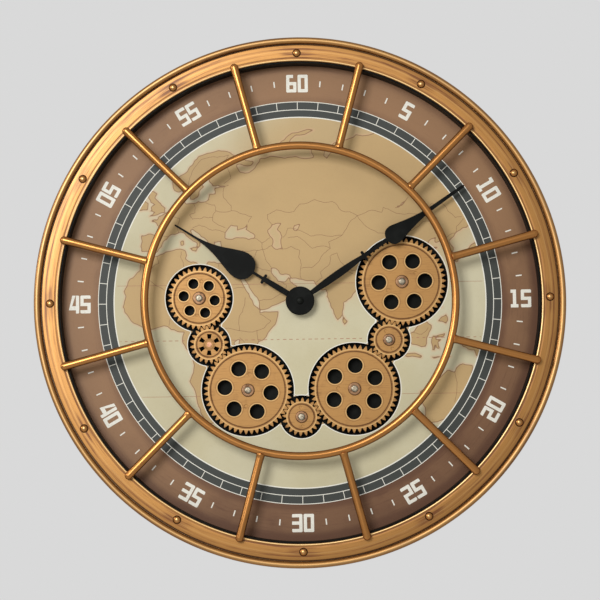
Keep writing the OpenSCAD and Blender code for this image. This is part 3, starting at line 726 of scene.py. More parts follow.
EURASIA = [
    (-9, 37), (-9.4, 38.8), (-8.8, 41), (-9.2, 43.1), (-5.8, 43.6), (-1.8, 43.4), (-1.2, 45),
    (-2.2, 47.3), (-4.7, 48.3), (-1.6, 48.7), (-1.6, 49.6), (1.6, 50.9), (4.2, 52.2), (5, 53.3),
    (8.3, 53.8), (8.2, 56.8), (10.6, 57.6), (10.2, 56), (9.8, 54.8), (11, 54), (14.2, 54.2),
    (18.6, 54.6), (21, 55.3), (21.3, 57.2), (24, 57.2), (23.6, 59.2), (28.5, 59.8), (29.8, 60.1),
    (25, 60.2), (22.8, 60), (21.3, 61.5), (21.4, 63.2), (25.2, 65), (22.3, 65.8), (21, 64.4),
    (17.6, 62), (17.3, 60.8), (18.8, 59.8), (16.6, 57.8), (16, 56.3), (14.3, 55.5), (12.8, 55.6),
    (11.3, 58.8), (10.5, 59.3), (8, 58.1), (5.6, 58.9), (5, 61.5), (8.5, 63.4), (12.2, 65.6),
    (14.8, 68), (19, 69.8), (25.5, 71), (30.8, 70.3), (35, 69.2), (41, 67.5), (40, 66.3),
    (33.5, 66.7), (34.8, 64.4), (38, 64), (40.5, 64.8), (42.5, 66.4), (44, 68.4), (53.5, 68.6),
    (60, 68.9), (68, 68.5), (66.8, 71.2), (69.5, 73), (73, 71.4), (72.5, 69), (73.8, 68),
    (76, 72), (81, 73.6), (87, 75.1), (98, 76.2), (104.3, 77.7), (113, 75.9), (109, 74),
    (119, 73), (127, 73.4), (129.5, 71.2), (140, 72.6), (150, 71.6), (150, 59.2), (143, 59.3),
    (135.3, 54.7), (141, 52), (140.3, 48), (135.5, 44.4), (131.9, 43.2), (129.8, 41.2),
    (127.5, 39.6), (129.4, 37), (129, 35.2), (126.4, 34.5), (126.8, 37.5), (125, 38.4),
    (124.6, 40), (121.4, 39), (121.8, 40.9), (118, 39.1), (118.9, 37.4), (122.4, 37.2),
    (119.3, 35), (121.6, 32), (121.9, 30), (120.6, 27.6), (118.5, 24.6), (114.2, 22.4),
    (110.4, 21.2), (108.2, 21.7), (105.8, 19), (108.9, 15.4), (109.3, 12), (106.8, 10.3),
    (105, 8.7), (104.8, 10.4), (102.6, 12.2), (100.9, 13.4), (99.9, 11.8), (99.3, 9.3),
    (100.6, 7.2), (102.3, 6.2), (103.4, 4.4), (103.9, 1.6), (101.3, 2.9), (100.3, 5.7),
    (98.3, 8.1), (98.7, 12), (97.7, 16.4), (94.4, 16), (94.3, 18.8), (92.2, 21.2), (90.4, 22.2),
    (87.2, 21.5), (84.8, 19.2), (82.2, 16.6), (80.2, 15.4), (80.2, 12.8), (79.8, 10.3),
    (77.6, 8.1), (76, 10.8), (74.6, 14), (73, 18), (72.7, 21), (70.6, 20.8), (69, 22.4),
    (67.2, 24.6), (62, 25.2), (57.4, 25.6), (56.5, 27), (52.5, 27.4), (50.4, 29.8), (48.4, 30),
    (48.4, 28.2), (50.2, 26.2), (51.4, 24.5), (54, 24.1), (56.2, 26), (56.8, 24.2), (59.7, 22.4),
    (57.7, 19.2), (55, 17.3), (52.2, 15.6), (45, 12.8), (43.4, 12.8), (42.8, 16.4), (39.2, 21.3),
    (37, 25), (35, 28), (34.6, 29.4), (32.6, 30), (34.2, 31.3), (35.9, 35.8), (36.1, 36.8),
    (33, 36.2), (30.6, 36.8), (27.6, 36.8), (26.3, 39), (26.2, 40.6), (23.8, 40.2), (22.9, 40.4),
    (24, 37.8), (22.6, 36.5), (21.2, 37.8), (19.4, 41.4), (16.2, 43.6), (13.6, 45.3),
    (12.4, 44.6), (14, 42.4), (16, 41.8), (18.4, 40), (16.8, 40.4), (17, 39), (15.8, 38),
    (15.6, 40), (12.2, 41.8), (10.2, 43.6), (8.2, 44.2), (4.8, 43.4), (3.1, 42.6), (0.8, 40.9),
    (-0.2, 38.8), (-2, 36.8), (-5.4, 36.1), (-6.6, 37),
]
AFRICA = [
    (-5.8, 35.8), (-2, 35.1), (3, 36.9), (10, 37.3), (11, 35.2), (10.3, 34), (15.3, 32.3),
    (19.2, 30.3), (20.2, 32.6), (23, 32.6), (29, 30.9), (32.4, 31.2), (32.4, 29.8), (33.6, 27.4),
    (35.6, 23.8), (37.2, 20.8), (38.8, 18), (43.2, 12.6), (43.2, 11.4), (51.2, 11.9),
    (50.8, 9.4), (47.8, 4.4), (42.4, -0.8), (39.2, -5.2), (40.6, -10.8), (40.4, -15.6),
    (35, -19.8), (35.4, -23.8), (32.8, -26), (31.4, -29.4), (27.4, -33.2), (20, -34.8),
    (18.2, -33), (16.4, -28.6), (14.6, -23), (11.8, -17.2), (13.6, -12.2), (12, -5.6),
    (8.8, -0.8), (9.6, 3.8), (6, 4.3), (2, 6.3), (-4, 5.2), (-7.6, 4.4), (-12.8, 7.8),
    (-16.7, 12.4), (-17.5, 14.7), (-16.2, 19), (-17, 21.2), (-14.4, 26.2), (-9.8, 29.6),
    (-9.4, 32.4), (-6.6, 34.4),
]
AUSTRALIA = [
    (113.6, -22.6), (114.2, -26.4), (115.8, -32), (115.2, -34.3), (118, -35), (123.6, -33.9),
    (129, -31.6), (132.4, -32), (135.6, -34.8), (140, -37.8), (147, -39), (150, -37.4),
    (153.2, -30), (153, -25.4), (149, -20.6), (145.8, -17), (143.6, -13), (142.4, -10.9),
    (141.4, -14), (140, -17.6), (136, -15.6), (136.8, -12.2), (132.6, -11.4), (130.4, -12.6),
    (129, -15), (125.8, -14), (122.2, -17.4), (119, -20),
]
ISLANDS = [
    [(-5.4, 50), (1.4, 51.2), (1.6, 52.8), (0, 53.6), (-1.6, 55.2), (-3, 56.2), (-2, 57.6),
     (-3.4, 58.6), (-5, 58.5), (-6, 56.6), (-4.8, 54.8), (-3, 54), (-4.6, 53.2), (-4.2, 52),
     (-5.2, 51.8), (-3, 51.4)],
    [(-6.2, 52.2), (-6, 54.4), (-7.6, 55.3), (-10, 54.2), (-10.2, 52)],
    [(52, 71.4), (57.5, 71), (56, 72.6), (60, 75.2), (68, 76.6), (58.5, 75.8), (53.6, 73.4)],
    [(49.3, -12), (50.4, -15.8), (47.2, -24.8), (44.2, -25), (43.4, -21.8), (44.4, -16.4), (47, -15.2)],
    [(80, 9.6), (81.8, 7.4), (80.6, 6), (79.8, 7.8)],
    [(95.4, 5.6), (98.4, 4), (103.8, -1), (106, -3.2), (105.6, -5.8), (102.2, -4), (98.8, 1.4)],
    [(105.4, -6.6), (108.6, -6.8), (114.4, -7.8), (114.2, -8.6), (106.4, -7.4)],
    [(109.2, 1.6), (111.4, 2.6), (116.8, 7), (119, 5.2), (117.6, 1), (116.2, -3.8), (114.6, -4),
     (110.2, -2.8), (109, 0.2)],
    [(119.4, -5.4), (119.2, -3), (119.8, 0.6), (125, 1.6), (124.4, 0.4), (120.4, 0.4), (121, -1),
     (123.2, -0.9), (121.8, -2), (122.6, -5), (121.4, -4.6), (120.6, -3), (120.4, -5.4)],
    [(120.6, 18.4), (122.2, 18.4), (121.6, 16), (124, 12.8), (121.4, 13.6), (120.2, 16)],
    [(122.2, 7), (123.6, 8.6), (125.6, 9.6), (126.4, 7.2), (125.4, 5.8), (124, 6.8)],
    [(121.4, 25.2), (120.2, 23.2), (120.8, 22), (121.6, 24)],
    [(108.8, 19.3), (110.6, 20.1), (110.4, 18.6), (109, 18.3)],
    [(131, 34.4), (132.6, 35.4), (136, 35.8), (137, 37.4), (139.4, 38.6), (140.2, 41.2),
     (141.8, 39.6), (140.8, 36), (139, 34.8), (136.8, 34.2), (135.4, 34.6), (133, 34.3)],
    [(130, 33.6), (131.6, 33.4), (131.2, 31.4), (130.2, 31.4)],
    [(131, -0.8), (134, -0.8), (135, -3.2), (138, -1.8), (144, -3.6), (150, -10.4), (144, -7.6),
     (143, -9.2), (138.6, -8.2), (138, -5.6), (133, -4)],
    [(123.6, -10.3), (127.2, -8.4), (125, -8.7)],
    [(119, -8.4), (122.8, -8.3), (120, -8.9)],
    [(8.4, 39.2), (9.6, 39.2), (9.6, 41), (8.3, 40.8)],
    [(12.5, 38), (15.6, 38.2), (15, 36.7)],
    [(23.6, 35.4), (26.3, 35.2), (24, 34.9)],
    [(32.4, 35), (34.4, 35.6), (33.4, 34.6)],
]
INLAND_WATER = [
    [(28, 41.6), (28, 43.6), (30.8, 46.4), (33.6, 46.1), (33.6, 44.5), (36.4, 45.3), (38, 46.6),
     (37.4, 44.8), (41.4, 42.4), (41.2, 41.4), (36, 41.7), (31.4, 41.2)],
    [(47, 44.4), (49, 46.4), (53, 46.8), (51.2, 44.6), (53.4, 42), (53.8, 37), (50.4, 37.2),
     (48.8, 38.4), (49.4, 40.4), (47.6, 43)],
    [(58.6, 44.4), (59, 46), (61.4, 46.4), (60, 44)],
    [(103.8, 51.6), (107, 52.6), (109.8, 55.6), (108.4, 54), (105.6, 52)],
    [(31.8, -0.6), (34, 0.2), (33.4, -2.4), (31.8, -2.2)],
]
BORDERS = [
    [(49, 46.4), (47, 48.5), (47, 50), (51, 51.6), (59, 51), (61.5, 53.5), (68, 55), (71, 54.2),
     (76, 54.2), (80, 51), (87, 49.2), (92, 50.8), (98, 50.2), (98.6, 52), (103, 50.4),
     (108, 49.4), (116, 49.8), (120, 53), (125, 53), (130.6, 48), (134.6, 48.4), (131, 44.8),
     (130.6, 42.4)],
    [(87, 49.2), (91, 45.2), (96, 42.8), (105, 41.6), (111.6, 43.7), (116, 46.6), (119.6, 46.8),
     (116, 49.8)],
    [(87, 49.2), (82.6, 45.4), (80.2, 42.2), (74, 39.6), (74.8, 37.2)],
    [(53.8, 41.6), (56, 45), (61, 44.2), (66, 42), (71, 42.4), (80.2, 42.2)],
    [(56, 41.4), (60, 42), (66.6, 37.4), (71, 38.2), (74.8, 37.2)],
    [(53.9, 37.3), (57.4, 38.2), (61.2, 36.6), (60.6, 34), (61.8, 31), (61.8, 25.1)],
    [(61.8, 29.6), (66.4, 29.8), (69.4, 32), (71, 34.4), (74.8, 37.2)],
    [(68.2, 23.8), (71, 25.6), (70.2, 28), (74.4, 31.2), (74.6, 34.2), (77.8, 35.5), (79, 32.4),
     (81, 30.2), (88, 27.9), (92, 27.8), (97.2, 28.2), (94.6, 25), (92.4, 21.4)],
    [(80.2, 29), (84, 27.4), (88, 26.4), (88.8, 24.2), (88.8, 21.8)],
    [(97.2, 28.2), (98, 24), (101, 21.6), (97.6, 18.4), (98.6, 14), (98.8, 10.4)],
    [(101, 21.6), (100.6, 19.4), (104, 18.2), (105.4, 14.4), (102.4, 13.6), (102.8, 12)],
    [(102.2, 22.4), (104.4, 20), (107.4, 16), (107.4, 12.4), (104.6, 10.6)],
    [(101, 21.6), (105, 23), (108, 21.6)],
    [(124.6, 40), (128, 41.8), (130.6, 42.4)],
    [(44.4, 39.6), (44.8, 37), (46, 33.2), (48.4, 30.2)],
    [(36, 36.3), (40, 36.9), (44.6, 37.2), (48.6, 38.6)],
    [(41.4, 41.5), (44.4, 39.6), (48, 41.6)],
    [(35, 29.4), (38.8, 32), (44.6, 29.2), (48.4, 28.6)],
    [(38.8, 32), (41, 34.4), (42.4, 37)],
    [(42.9, 16.6), (47, 17), (52, 19), (55, 22), (55.2, 22.8), (51.6, 24.4)],
    [(-1.6, 43.3), (3.1, 42.5)],
    [(2.6, 51), (6, 49.5), (8, 49), (7.6, 47.6), (6.8, 46), (7.4, 43.8)],
    [(14.3, 53.9), (14.8, 51), (12.4, 50.3), (13.6, 48.7), (17, 48.8), (18.8, 49.5), (22.6, 49.2),
     (24, 51.6), (23.6, 53.6), (19.6, 54.4)],
    [(24, 51.6), (31, 51.5), (36, 50.3), (40, 49.4), (38.4, 47.2)],
    [(22.6, 49.2), (22.6, 48), (28.2, 45.5)],
    [(13.6, 45.6), (16.4, 46.6), (19, 46), (22.4, 44.6), (28, 43.8)],
    [(30, 69.6), (28.6, 67), (30.2, 64.4), (31, 62.4), (27.8, 60.6)],
    [(11.2, 59), (12.4, 62), (14, 65), (18, 68.4), (25, 69), (30, 69.6)],
    [(28, 59.6), (27.6, 56), (31, 53.2), (31, 51.5)],
    [(-2, 35), (-1.4, 32.4), (-8.6, 28.6), (-8.6, 27.3), (-4.8, 25), (4, 19.2), (12, 23.4),
     (9.8, 26.4), (9.6, 30.4), (8.2, 34.6), (8.6, 36.8)],
    [(25, 31.6), (25, 22), (36.8, 22)],
    [(12, 23.4), (15, 23), (24, 19.5), (25, 22)],
    [(24, 19.5), (22, 13), (23.6, 8.8), (27.4, 5), (34, 4), (41.8, 4), (42.4, -0.8)],
    [(15, 23), (15.4, 16.8), (13.6, 13.6), (3.6, 11.7), (2.8, 6.6)],
    [(13.6, 13.6), (9, 6), (8.6, 4.8)],
    [(36.8, 18), (36.2, 14.4), (34, 10), (34, 4)],
    [(41.8, 4), (45, 5), (48, 8), (43, 11)],
    [(29.6, 1), (29.4, -4.4), (30.8, -8.4), (28.4, -9), (24, -11), (22, -11), (16.6, -6), (12.4, -5.8)],
    [(34, 1), (37.6, -3), (39.2, -4.6)],
    [(25, -17.8), (28.8, -15.8), (33, -14)],
    [(20, -28.4), (20, -22), (25.2, -17.8), (31.2, -22.3), (32.8, -26.8)],
    [(141, -2.6), (141, -9.1)],
    [(109.6, 2), (114.8, 1.4), (117.6, 4.2)],
    [(129, -14.9), (129, -31.6)],
]
MAP_SEED = 11


def on_face(lon, lat):
    """Where a place lies on the dial, in millimetres from its centre."""
    return np.array((2.565 * (lon - 61), -43 + 2.66 * lat * (1 + 0.00003 * lat * lat)))


def roughened(points, closed, rounds, dice, sway=0.13):
    """A line whose stretches are split at swayed midpoints, as a coast winds."""
    line = [on_face(*p) for p in points]
    if closed:
        line.append(line[0])
    for _ in range(rounds):
        finer = [line[0]]
        for a, b in zip(line, line[1:]):
            side = np.array((a[1] - b[1], b[0] - a[0]))
            finer += [(a + b) / 2 + side * dice.uniform(-sway, sway), b]
        line = finer
    return np.array(line)


def gear_holes():
    """The cut-outs in the dial as (x, z, radius) in millimetres, from the gears' own places."""
    gap = 2.4
    holes = []
    for node in GEARS:
        low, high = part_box(node)
        holes.append(((low.x + high.x) / 2 / MM, (low.z + high.z) / 2 / MM,
                      max(high.x - low.x, high.z - low.z) / 2 / MM + gap))
    return holes


GEARS = {
    "gear_upper_right": (35, (26.3, 8.5, 1.4)),
    "gear_lower_right": (40, (26.3, 8.5, 27.4)),
    "gear_lower_left": (-50, (26.3, 8.5, 52.8)),
    "gear_upper_left": (25, (17.8, 5.8, 51.6)),
    "pinion_right": (-20, None),
    "pinion_bottom": (10, None),
    "pinion_left": (60, None),
}


def rim_distance(points, holes, outer):
    """How far each [x, z] point is inside the map's edge, in millimetres."""
    away = outer - np.hypot(points[:, 0], points[:, 1])
    for x, z, r in holes:
        away = np.minimum(away, np.hypot(points[:, 0] - x, points[:, 1] - z) - r)
    return away


def shore_distance(points, lines, reach=5.0):
    """Distance to the coast in millimetres, above 0 on land and capped at a reach."""
    best = np.full(len(points), reach)
    odd = np.zeros(len(points), bool)
    x, z = points[:, 0], points[:, 1]
    for line in lines:
        for a, b in zip(line, line[1:]):
            if (a[1] > z.min()) or (b[1] > z.min()):
                crossing = (a[1] > z) != (b[1] > z)
                if crossing.any():
                    where = a[0] + (z[crossing] - a[1]) * (b[0] - a[0]) / (b[1] - a[1])
                    odd[np.nonzero(crossing)[0][x[crossing] < where]] ^= True
            low, high = np.minimum(a, b) - reach, np.maximum(a, b) + reach
            close = np.nonzero((x > low[0]) & (x < high[0]) & (z > low[1]) & (z < high[1]))[0]
            if len(close):
                step = b - a
                along = np.clip(((x[close] - a[0]) * step[0] + (z[close] - a[1]) * step[1])
                                / max(step @ step, 1e-9), 0, 1)
                gap = np.hypot(x[close] - a[0] - along * step[0], z[close] - a[1] - along * step[1])
                best[close] = np.minimum(best[close], gap)
    return np.where(odd, best, -best)


def ribbon(line, width, holes, outer, dash=None, longest=1.0):
    """Short flat strips along a line, left out where the map has none."""
    strips, gone = [], 0.0
    for a, b in zip(line, line[1:]):
        run = np.hypot(*(b - a))
        parts = max(1, int(math.ceil(run / longest)))
        for i in range(parts):
            p, q = a + (b - a) * i / parts, a + (b - a) * (i + 1) / parts
            gone += run / parts
            if dash and gone % (2 * dash) > dash:
                continue
            if rim_distance(np.array([p, q]), holes, outer).min() < 1.6:
                continue
            side = np.array((p[1] - q[1], q[0] - p[0])) / max(np.hypot(*(q - p)), 1e-9) * width / 2
            strips.append([tuple(p - side), tuple(q - side), tuple(q + side), tuple(p + side)])
    return strips


# ---- Pieces ----


def build_case():
    """The rolled case with its rounded lip, and the bezel that lies in it."""
    outer, inner = size("case_r"), size("case_r") - size("case_wall")
    lip, top = size("lip_w") / 2, size("case_depth")
    bezel_top, bezel_low = bezel_depths()
    ledge = bezel_low - LEDGE
    lip_inner = outer - size("lip_w")
    outline = [(inner + 0.4, 0), (outer - 0.6, 0), (outer, 0.6)]
    outline += arc(outer - lip, top - lip, lip, 0, 180, 16)
    outline += [(lip_inner, bezel_low), (size("bezel_r0") + 0.1, bezel_low),
                (size("bezel_r0") + 0.1, ledge), (inner - 1.2, ledge), (inner, ledge - 1.2), (inner, 0.4)]
    case = turned("case_hoop", outline, 384, 40)
    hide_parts("case_rim")
    # The bright ring paints a highlight along the lip's crest, and the last pair paints black as shade into
    # the gap inside the lip
    material = gold_finish("case_gold", [(outer - 1.2, 1.6, 0.3)],
                           [(outer - lip, 2.6, 0.4)], (lip_inner - 0.6, 0.9))
    fit(case, material, "root", "case_gold")

    r0, r1, t = size("bezel_r0"), size("bezel_r1"), bezel_top
    outline = [(r0, bezel_low), (r1, bezel_low), (r1, t - 1.4)]
    outline += arc(r1 - 1.2, t - 1.4, 1.2, 0, 90, 5)[1:]
    outline += [(r1 - 4.2, t - 0.06), (r1 - 8, t), (r0 + 5.2, t),
                (r0 + 3.6, t - 0.04), (r0 + 3.1, t - 0.22), (r0 + 2.6, t - 0.06)]
    outline += arc(r0 + 1.3, t - 1.3, 1.3, 90, 180, 6)
    bezel = turned("bezel", outline, 384, 40)
    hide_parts("bezel_ring")
    # The bright ring at the inner edge is partly wear and partly a painted highlight on the rounded edge
    material = gold_finish(
        "bezel_gold", [(286.2, 1.8, 0.55), (276.0, 1.8, 0.6), (290.9, 0.7, 0.7)],
        [(273.5, 0.9, 1.3), (283.6, 1.6, 0.2)])
    fit(bezel, material, "root", "bezel_gold")


def rivet_finish():
    """A dome with a highlight painted at its top and a dark line round its foot that is painted contact
    shade with some patina, about the circle the rivets stand on.
    """
    made = Finish("rivet_copper", metallic=0.95, roughness=0.3)
    foot = made.node("Attribute", {"attribute_name": "from_axis"}, out="Fac")
    grit = made.noise(made.place(), 1.4, 4.0, 0.6)
    tone = made.mix(grit.between(0.45, 0.75) * 0.5, colour("copper"), colour("copper_dark"))
    # Painted contact shade with some patina round the dome's foot and over its flange
    tone = made.mix(foot.between(3.3, 4.1) * 0.95, tone, paint(44, 24, 12))
    # Painted highlight on the top of the dome
    tone = made.mix((1 - foot.between(0.0, 2.8)) * 0.6, tone, colour("gold_light"))
    made.base(tone)
    made.rough(0.26 + grit * 0.2)
    made.bump(grit, 0.12, 0.08)
    return made.material


def build_rivets():
    """Twelve domed rivets on flanges, each with its shank and its formed tail under the ledge."""
    rivet_r, rise, flange_r, shank_r, tail_r = 4.3, 2.4, 4.8, 1.6, 3.2
    top, low = bezel_depths()
    seat, ledge = top + 0.4, low - LEDGE
    ball = (rivet_r ** 2 + rise ** 2) / (2 * rise)
    reach = math.degrees(math.asin(rivet_r / ball))
    dome = [(ball * math.sin(math.radians(reach * i / 8)),
             seat + rise - ball + ball * math.cos(math.radians(reach * i / 8))) for i in range(9)]
    outline = dome + [
        (flange_r - 0.15, seat), (flange_r, seat - 0.15), (flange_r, top), (shank_r, top), (shank_r, ledge),
        (tail_r - 0.3, ledge), (tail_r, ledge - 0.3), (tail_r - 0.3, ledge - 1.1),
        (tail_r - 0.8, ledge - 1.2), (0, ledge - 1.2)]
    rivet = turned("rivet", outline, 40, 40)
    reach_of = rivet.data.attributes.new("from_axis", "FLOAT", "POINT")
    reach_of.data.foreach_set("value", [math.hypot(v.co.x, v.co.z) / MM for v in rivet.data.vertices])
    moved(rivet, Matrix.Translation((RIVET_CIRCLE * MM, 0, 0)))
    rivets = ring_of(rivet, "rivets", 12, 0)
    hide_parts("bezel_rivets")
    fit(rivets, rivet_finish(), "root", "cage_copper")


def build_cage():
    """The cage ring, its twelve rods with a weld at each joint, and the studs under them."""
    bezel_top, bezel_low = bezel_depths()
    tube, centre = size("cage_tube_r"), bezel_top + size("rod_r")
    copper = copper_finish("cage_copper", centre)
    ring = turned("cage_hoop", arc(size("cage_r"), centre, tube, 0, 360, 32)[:-1], 288, 60)
    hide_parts("cage_ring")
    fit(ring, copper, "root", "cage_copper")

    rod_r, reach = size("rod_r"), size("rod_reach")
    start = size("cage_r") + tube - 1.6
    weld = ((0.6, 0.0), (0.7, 0.9), (0.55, 1.8), (0.3, 2.8), (0.1, 4.0))
    outline = [(0.0, start)] + [(rod_r + proud, start + along) for proud, along in weld]
    outline += [(rod_r, start + 5.4), (rod_r, 220.0), (rod_r, 250.0)]
    outline += [(rod_r * math.cos(math.radians(a)), reach - rod_r + rod_r * math.sin(math.radians(a)))
                for a in range(0, 91, 10)]
    outline[-1] = (0.0, reach)
    master = turned("rod", outline, 40, 50)
    moved(master, Matrix.Rotation(math.radians(90), 4, "Z"))
    moved(master, Matrix.Translation((0, -centre * MM, 0)))
    stud_r, circle, foot = 1.6, reach - 2.7, bezel_low - STUD_DROP
    stud = turned("stud", [(0, foot), (stud_r - 0.3, foot), (stud_r, foot + 0.3),
                           (stud_r, centre - 1.5), (0, centre - 1.5)], 24, 40)
    moved(stud, Matrix.Translation((circle * MM, 0, 0)))
    master = joined("rod", [master, stud])
    for i in range(1, 13):
        rod = copy_of(master, f"rod_{i:02d}")
        moved(rod, round_axis(30 * i - 15))
        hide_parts(f"cage_rod_{i:02d}")
        fit(rod, copper, "root", "cage_copper")
    bpy.data.objects.remove(master)
    finish_node("rod_nuts", 0.2, metal("zinc_nuts"))


def build_reveal():
    """The black ring that lines the recess."""
    r1 = size("bezel_r0") - 0.1
    r0, face = r1 - 1.7, size("face")
    outline = [(r0, face), (r0 + 0.6, face), (r0 + 0.6, face - 0.4), (284, face - 0.4),
               (284, face + 1.1), (r1, face + 1.1), (r1, 59.0)]
    outline += [(r1 - 0.4, 59.0), (r0 + 0.3, 59.0), (r0, 58.7)]
    ring = turned("recess_lining", outline, 384, 40)
    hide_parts("reveal_ring")
    fit(ring, satin_black("lining_black", 1.2), "root", "black_paint")


def build_map():
    """The printed map inside the chapter ring, cut round the gears."""
    outer, step, face = size("map_r"), size("map_step"), size("face")
    count = int(2 * (outer + 2) / step)
    deselect()
    bpy.ops.mesh.primitive_grid_add(
        x_subdivisions=count, y_subdivisions=count, size=count * step * MM,
        location=(0, -face * MM, 0), rotation=(math.radians(90), 0, 0))
    piece = bpy.context.object
    bpy.ops.object.transform_apply(location=True, rotation=True, scale=True)
    holes = gear_holes()
    mesh = bmesh.new()
    mesh.from_mesh(piece.data)
    places = np.array([(v.co.x / MM, v.co.z / MM) for v in mesh.verts])
    inside = rim_distance(places, holes, outer)
    spare = [v for v, away in zip(mesh.verts, inside) if away < 0.12 * step]
    bmesh.ops.delete(mesh, geom=spare, context="VERTS")
    loose = [v for v in mesh.verts if not v.link_faces]
    bmesh.ops.delete(mesh, geom=loose, context="VERTS")
    circles = [(0.0, 0.0, outer)] + holes
    for vert in mesh.verts:
        if not vert.is_boundary:
            continue
        x, z = vert.co.x / MM, vert.co.z / MM
        ax, az, r = min(circles, key=lambda c: abs(math.hypot(x - c[0], z - c[1]) - c[2]))
        away = math.hypot(x - ax, z - az)
        vert.co.x = (ax + (x - ax) * r / away) * MM
        vert.co.z = (az + (z - az) * r / away) * MM
    mesh.to_mesh(piece.data)
    mesh.free()
    dice = np.random.default_rng(MAP_SEED)
    coasts = [EURASIA, AFRICA, AUSTRALIA] + ISLANDS + INLAND_WATER
    lines = [roughened(line, True, 2, dice) for line in coasts]
    pick(piece)
    thick = piece.modifiers.new("Paper", "SOLIDIFY")
    thick.thickness = PAPER * MM
    thick.offset = -1.0
    bpy.ops.object.modifier_apply(modifier=thick.name)
    places = np.array([(v.co.x / MM, v.co.z / MM) for v in piece.data.vertices])
    shore = piece.data.attributes.new("shore", "FLOAT", "POINT")
    shore.data.foreach_set("value", shore_distance(places, lines).astype(np.float32))
    rim = piece.data.attributes.new("rim", "FLOAT", "POINT")
    bare = np.maximum(rim_distance(places, holes, outer + 9), 0)
    rim.data.foreach_set("value", bare.astype(np.float32))
    settle(piece, "map_print", 30)
    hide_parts("dial_print")
    fit(piece, map_finish(), "root", "dial_paper")

    low, high = face - INK_SINK, face + size("ink")
    strips = []
    for line in BORDERS:
        strips += ribbon(roughened(line, False, 2, dice, 0.1), 0.42, holes, outer)
    borders = sheet_ink("map_borders", strips, low, high)
    fit(borders, ink_finish("border_ink", colour("coast"), paint(164, 128, 84)), "root", "dial_paper")
    strips = []
    for lat, dash, width in ((0.0, 3.6, 0.7), (23.44, None, 0.4), (-23.44, None, 0.4)):
        z = on_face(61, lat)[1]
        half = math.sqrt(outer ** 2 - z ** 2)
        strips += ribbon(np.array([(-half, z), (half, z)]), width, holes, outer, dash)
    circles = sheet_ink("map_circles", strips, low, high)
    fit(circles, ink_finish("circle_ink", paint(160, 104, 78), paint(176, 140, 104)), "root", "dial_paper")


# Inner radius, outer radius and width of a mark, in millimetres.
MINUTE_MARK = (247.4, 254.2, 1.4)
BAND_LINE = (220.2, 229.4, 0.75)
LEVEL = ("15", "45")  # numerals that stand level
HEADS_OUT = ("60", "5", "10", "55")  # numerals whose heads point outwards; the others' point inwards

DIGITS = {
    "0": ["XXX", "X.X", "X.X", "X.X", "XXX"],
    "1": ["XX.", ".X.", ".X.", ".X.", "XXX"],
    "2": ["XXX", "..X", "XXX", "X..", "XXX"],
    "3": ["XXX", "..X", "XXX", "..X", "XXX"],
    "4": ["X.X", "X.X", "X.X", "XXX", "..X"],
    "5": ["XXX", "X..", "XXX", "..X", "XXX"],
    "6": ["XX.", "X..", "XXX", "X.X", "XXX"],
}


def digit(character):
    """A blocky digit about its own centre, cut from a grid of three by five and chamfered at its corners."""
    width, height, stroke = size("digit_w"), size("digit_h"), size("stroke")
    columns = [-width / 2, -width / 2 + stroke, width / 2 - stroke, width / 2]
    if character == "1":
        columns = [-width * 0.37, -stroke / 2, stroke / 2, width * 0.37]
    rows = [-height / 2, -height / 2 + stroke, -stroke / 2, stroke / 2, height / 2 - stroke, height / 2]
    deselect()
    bpy.ops.mesh.primitive_grid_add(x_subdivisions=3, y_subdivisions=5, size=1.0,
                                    rotation=(math.radians(90), 0, 0))
    piece = bpy.context.object
    bpy.ops.object.transform_apply(location=True, rotation=True, scale=True)
    mesh = bmesh.new()
    mesh.from_mesh(piece.data)
    pattern = DIGITS[character]
    spare = []
    for face in mesh.faces:
        middle = face.calc_center_median()
        column, row = int((middle.x + 0.5) * 3), 4 - int((middle.z + 0.5) * 5)
        if pattern[row][column] != "X":
            spare.append(face)
    for vert in mesh.verts:
        column, row = round((vert.co.x + 0.5) * 3), round((vert.co.z + 0.5) * 5)
        vert.co = Vector((columns[column], 0, rows[row])) * MM
    bmesh.ops.delete(mesh, geom=spare, context="FACES")
    mesh.to_mesh(piece.data)
    mesh.free()
    bpy.ops.object.mode_set(mode="EDIT")
    bpy.ops.mesh.select_all(action="SELECT")
    bpy.ops.mesh.dissolve_limited(angle_limit=math.radians(1))
    bpy.ops.mesh.select_all(action="DESELECT")
    mesh = bmesh.from_edit_mesh(piece.data)
    slant = (width - 2 * stroke) * 0.9
    for vert in mesh.verts:
        on_upright = vert.co.x < 0 or abs(vert.co.x - columns[1] * MM) < 1e-6
        if character == "4" and on_upright and vert.co.z > 0:
            vert.co.x += slant * MM
        at_side = abs(abs(vert.co.x) - width / 2 * MM) < 1e-6
        at_end = abs(abs(vert.co.z) - height / 2 * MM) < 1e-6
        vert.select_set(at_side and at_end)
    bmesh.update_edit_mesh(piece.data)
    bpy.ops.mesh.bevel(offset=0.9 * MM, affect="VERTICES")
    bpy.ops.mesh.select_all(action="SELECT")
    bpy.ops.mesh.extrude_region_move(
        TRANSFORM_OT_translate={"value": (0.0, -(size("ink") + INK_SINK) * MM, 0.0)})
    bpy.ops.mesh.select_all(action="SELECT")
    bpy.ops.mesh.normals_make_consistent(inside=False)
    bpy.ops.object.mode_set(mode="OBJECT")
    return piece


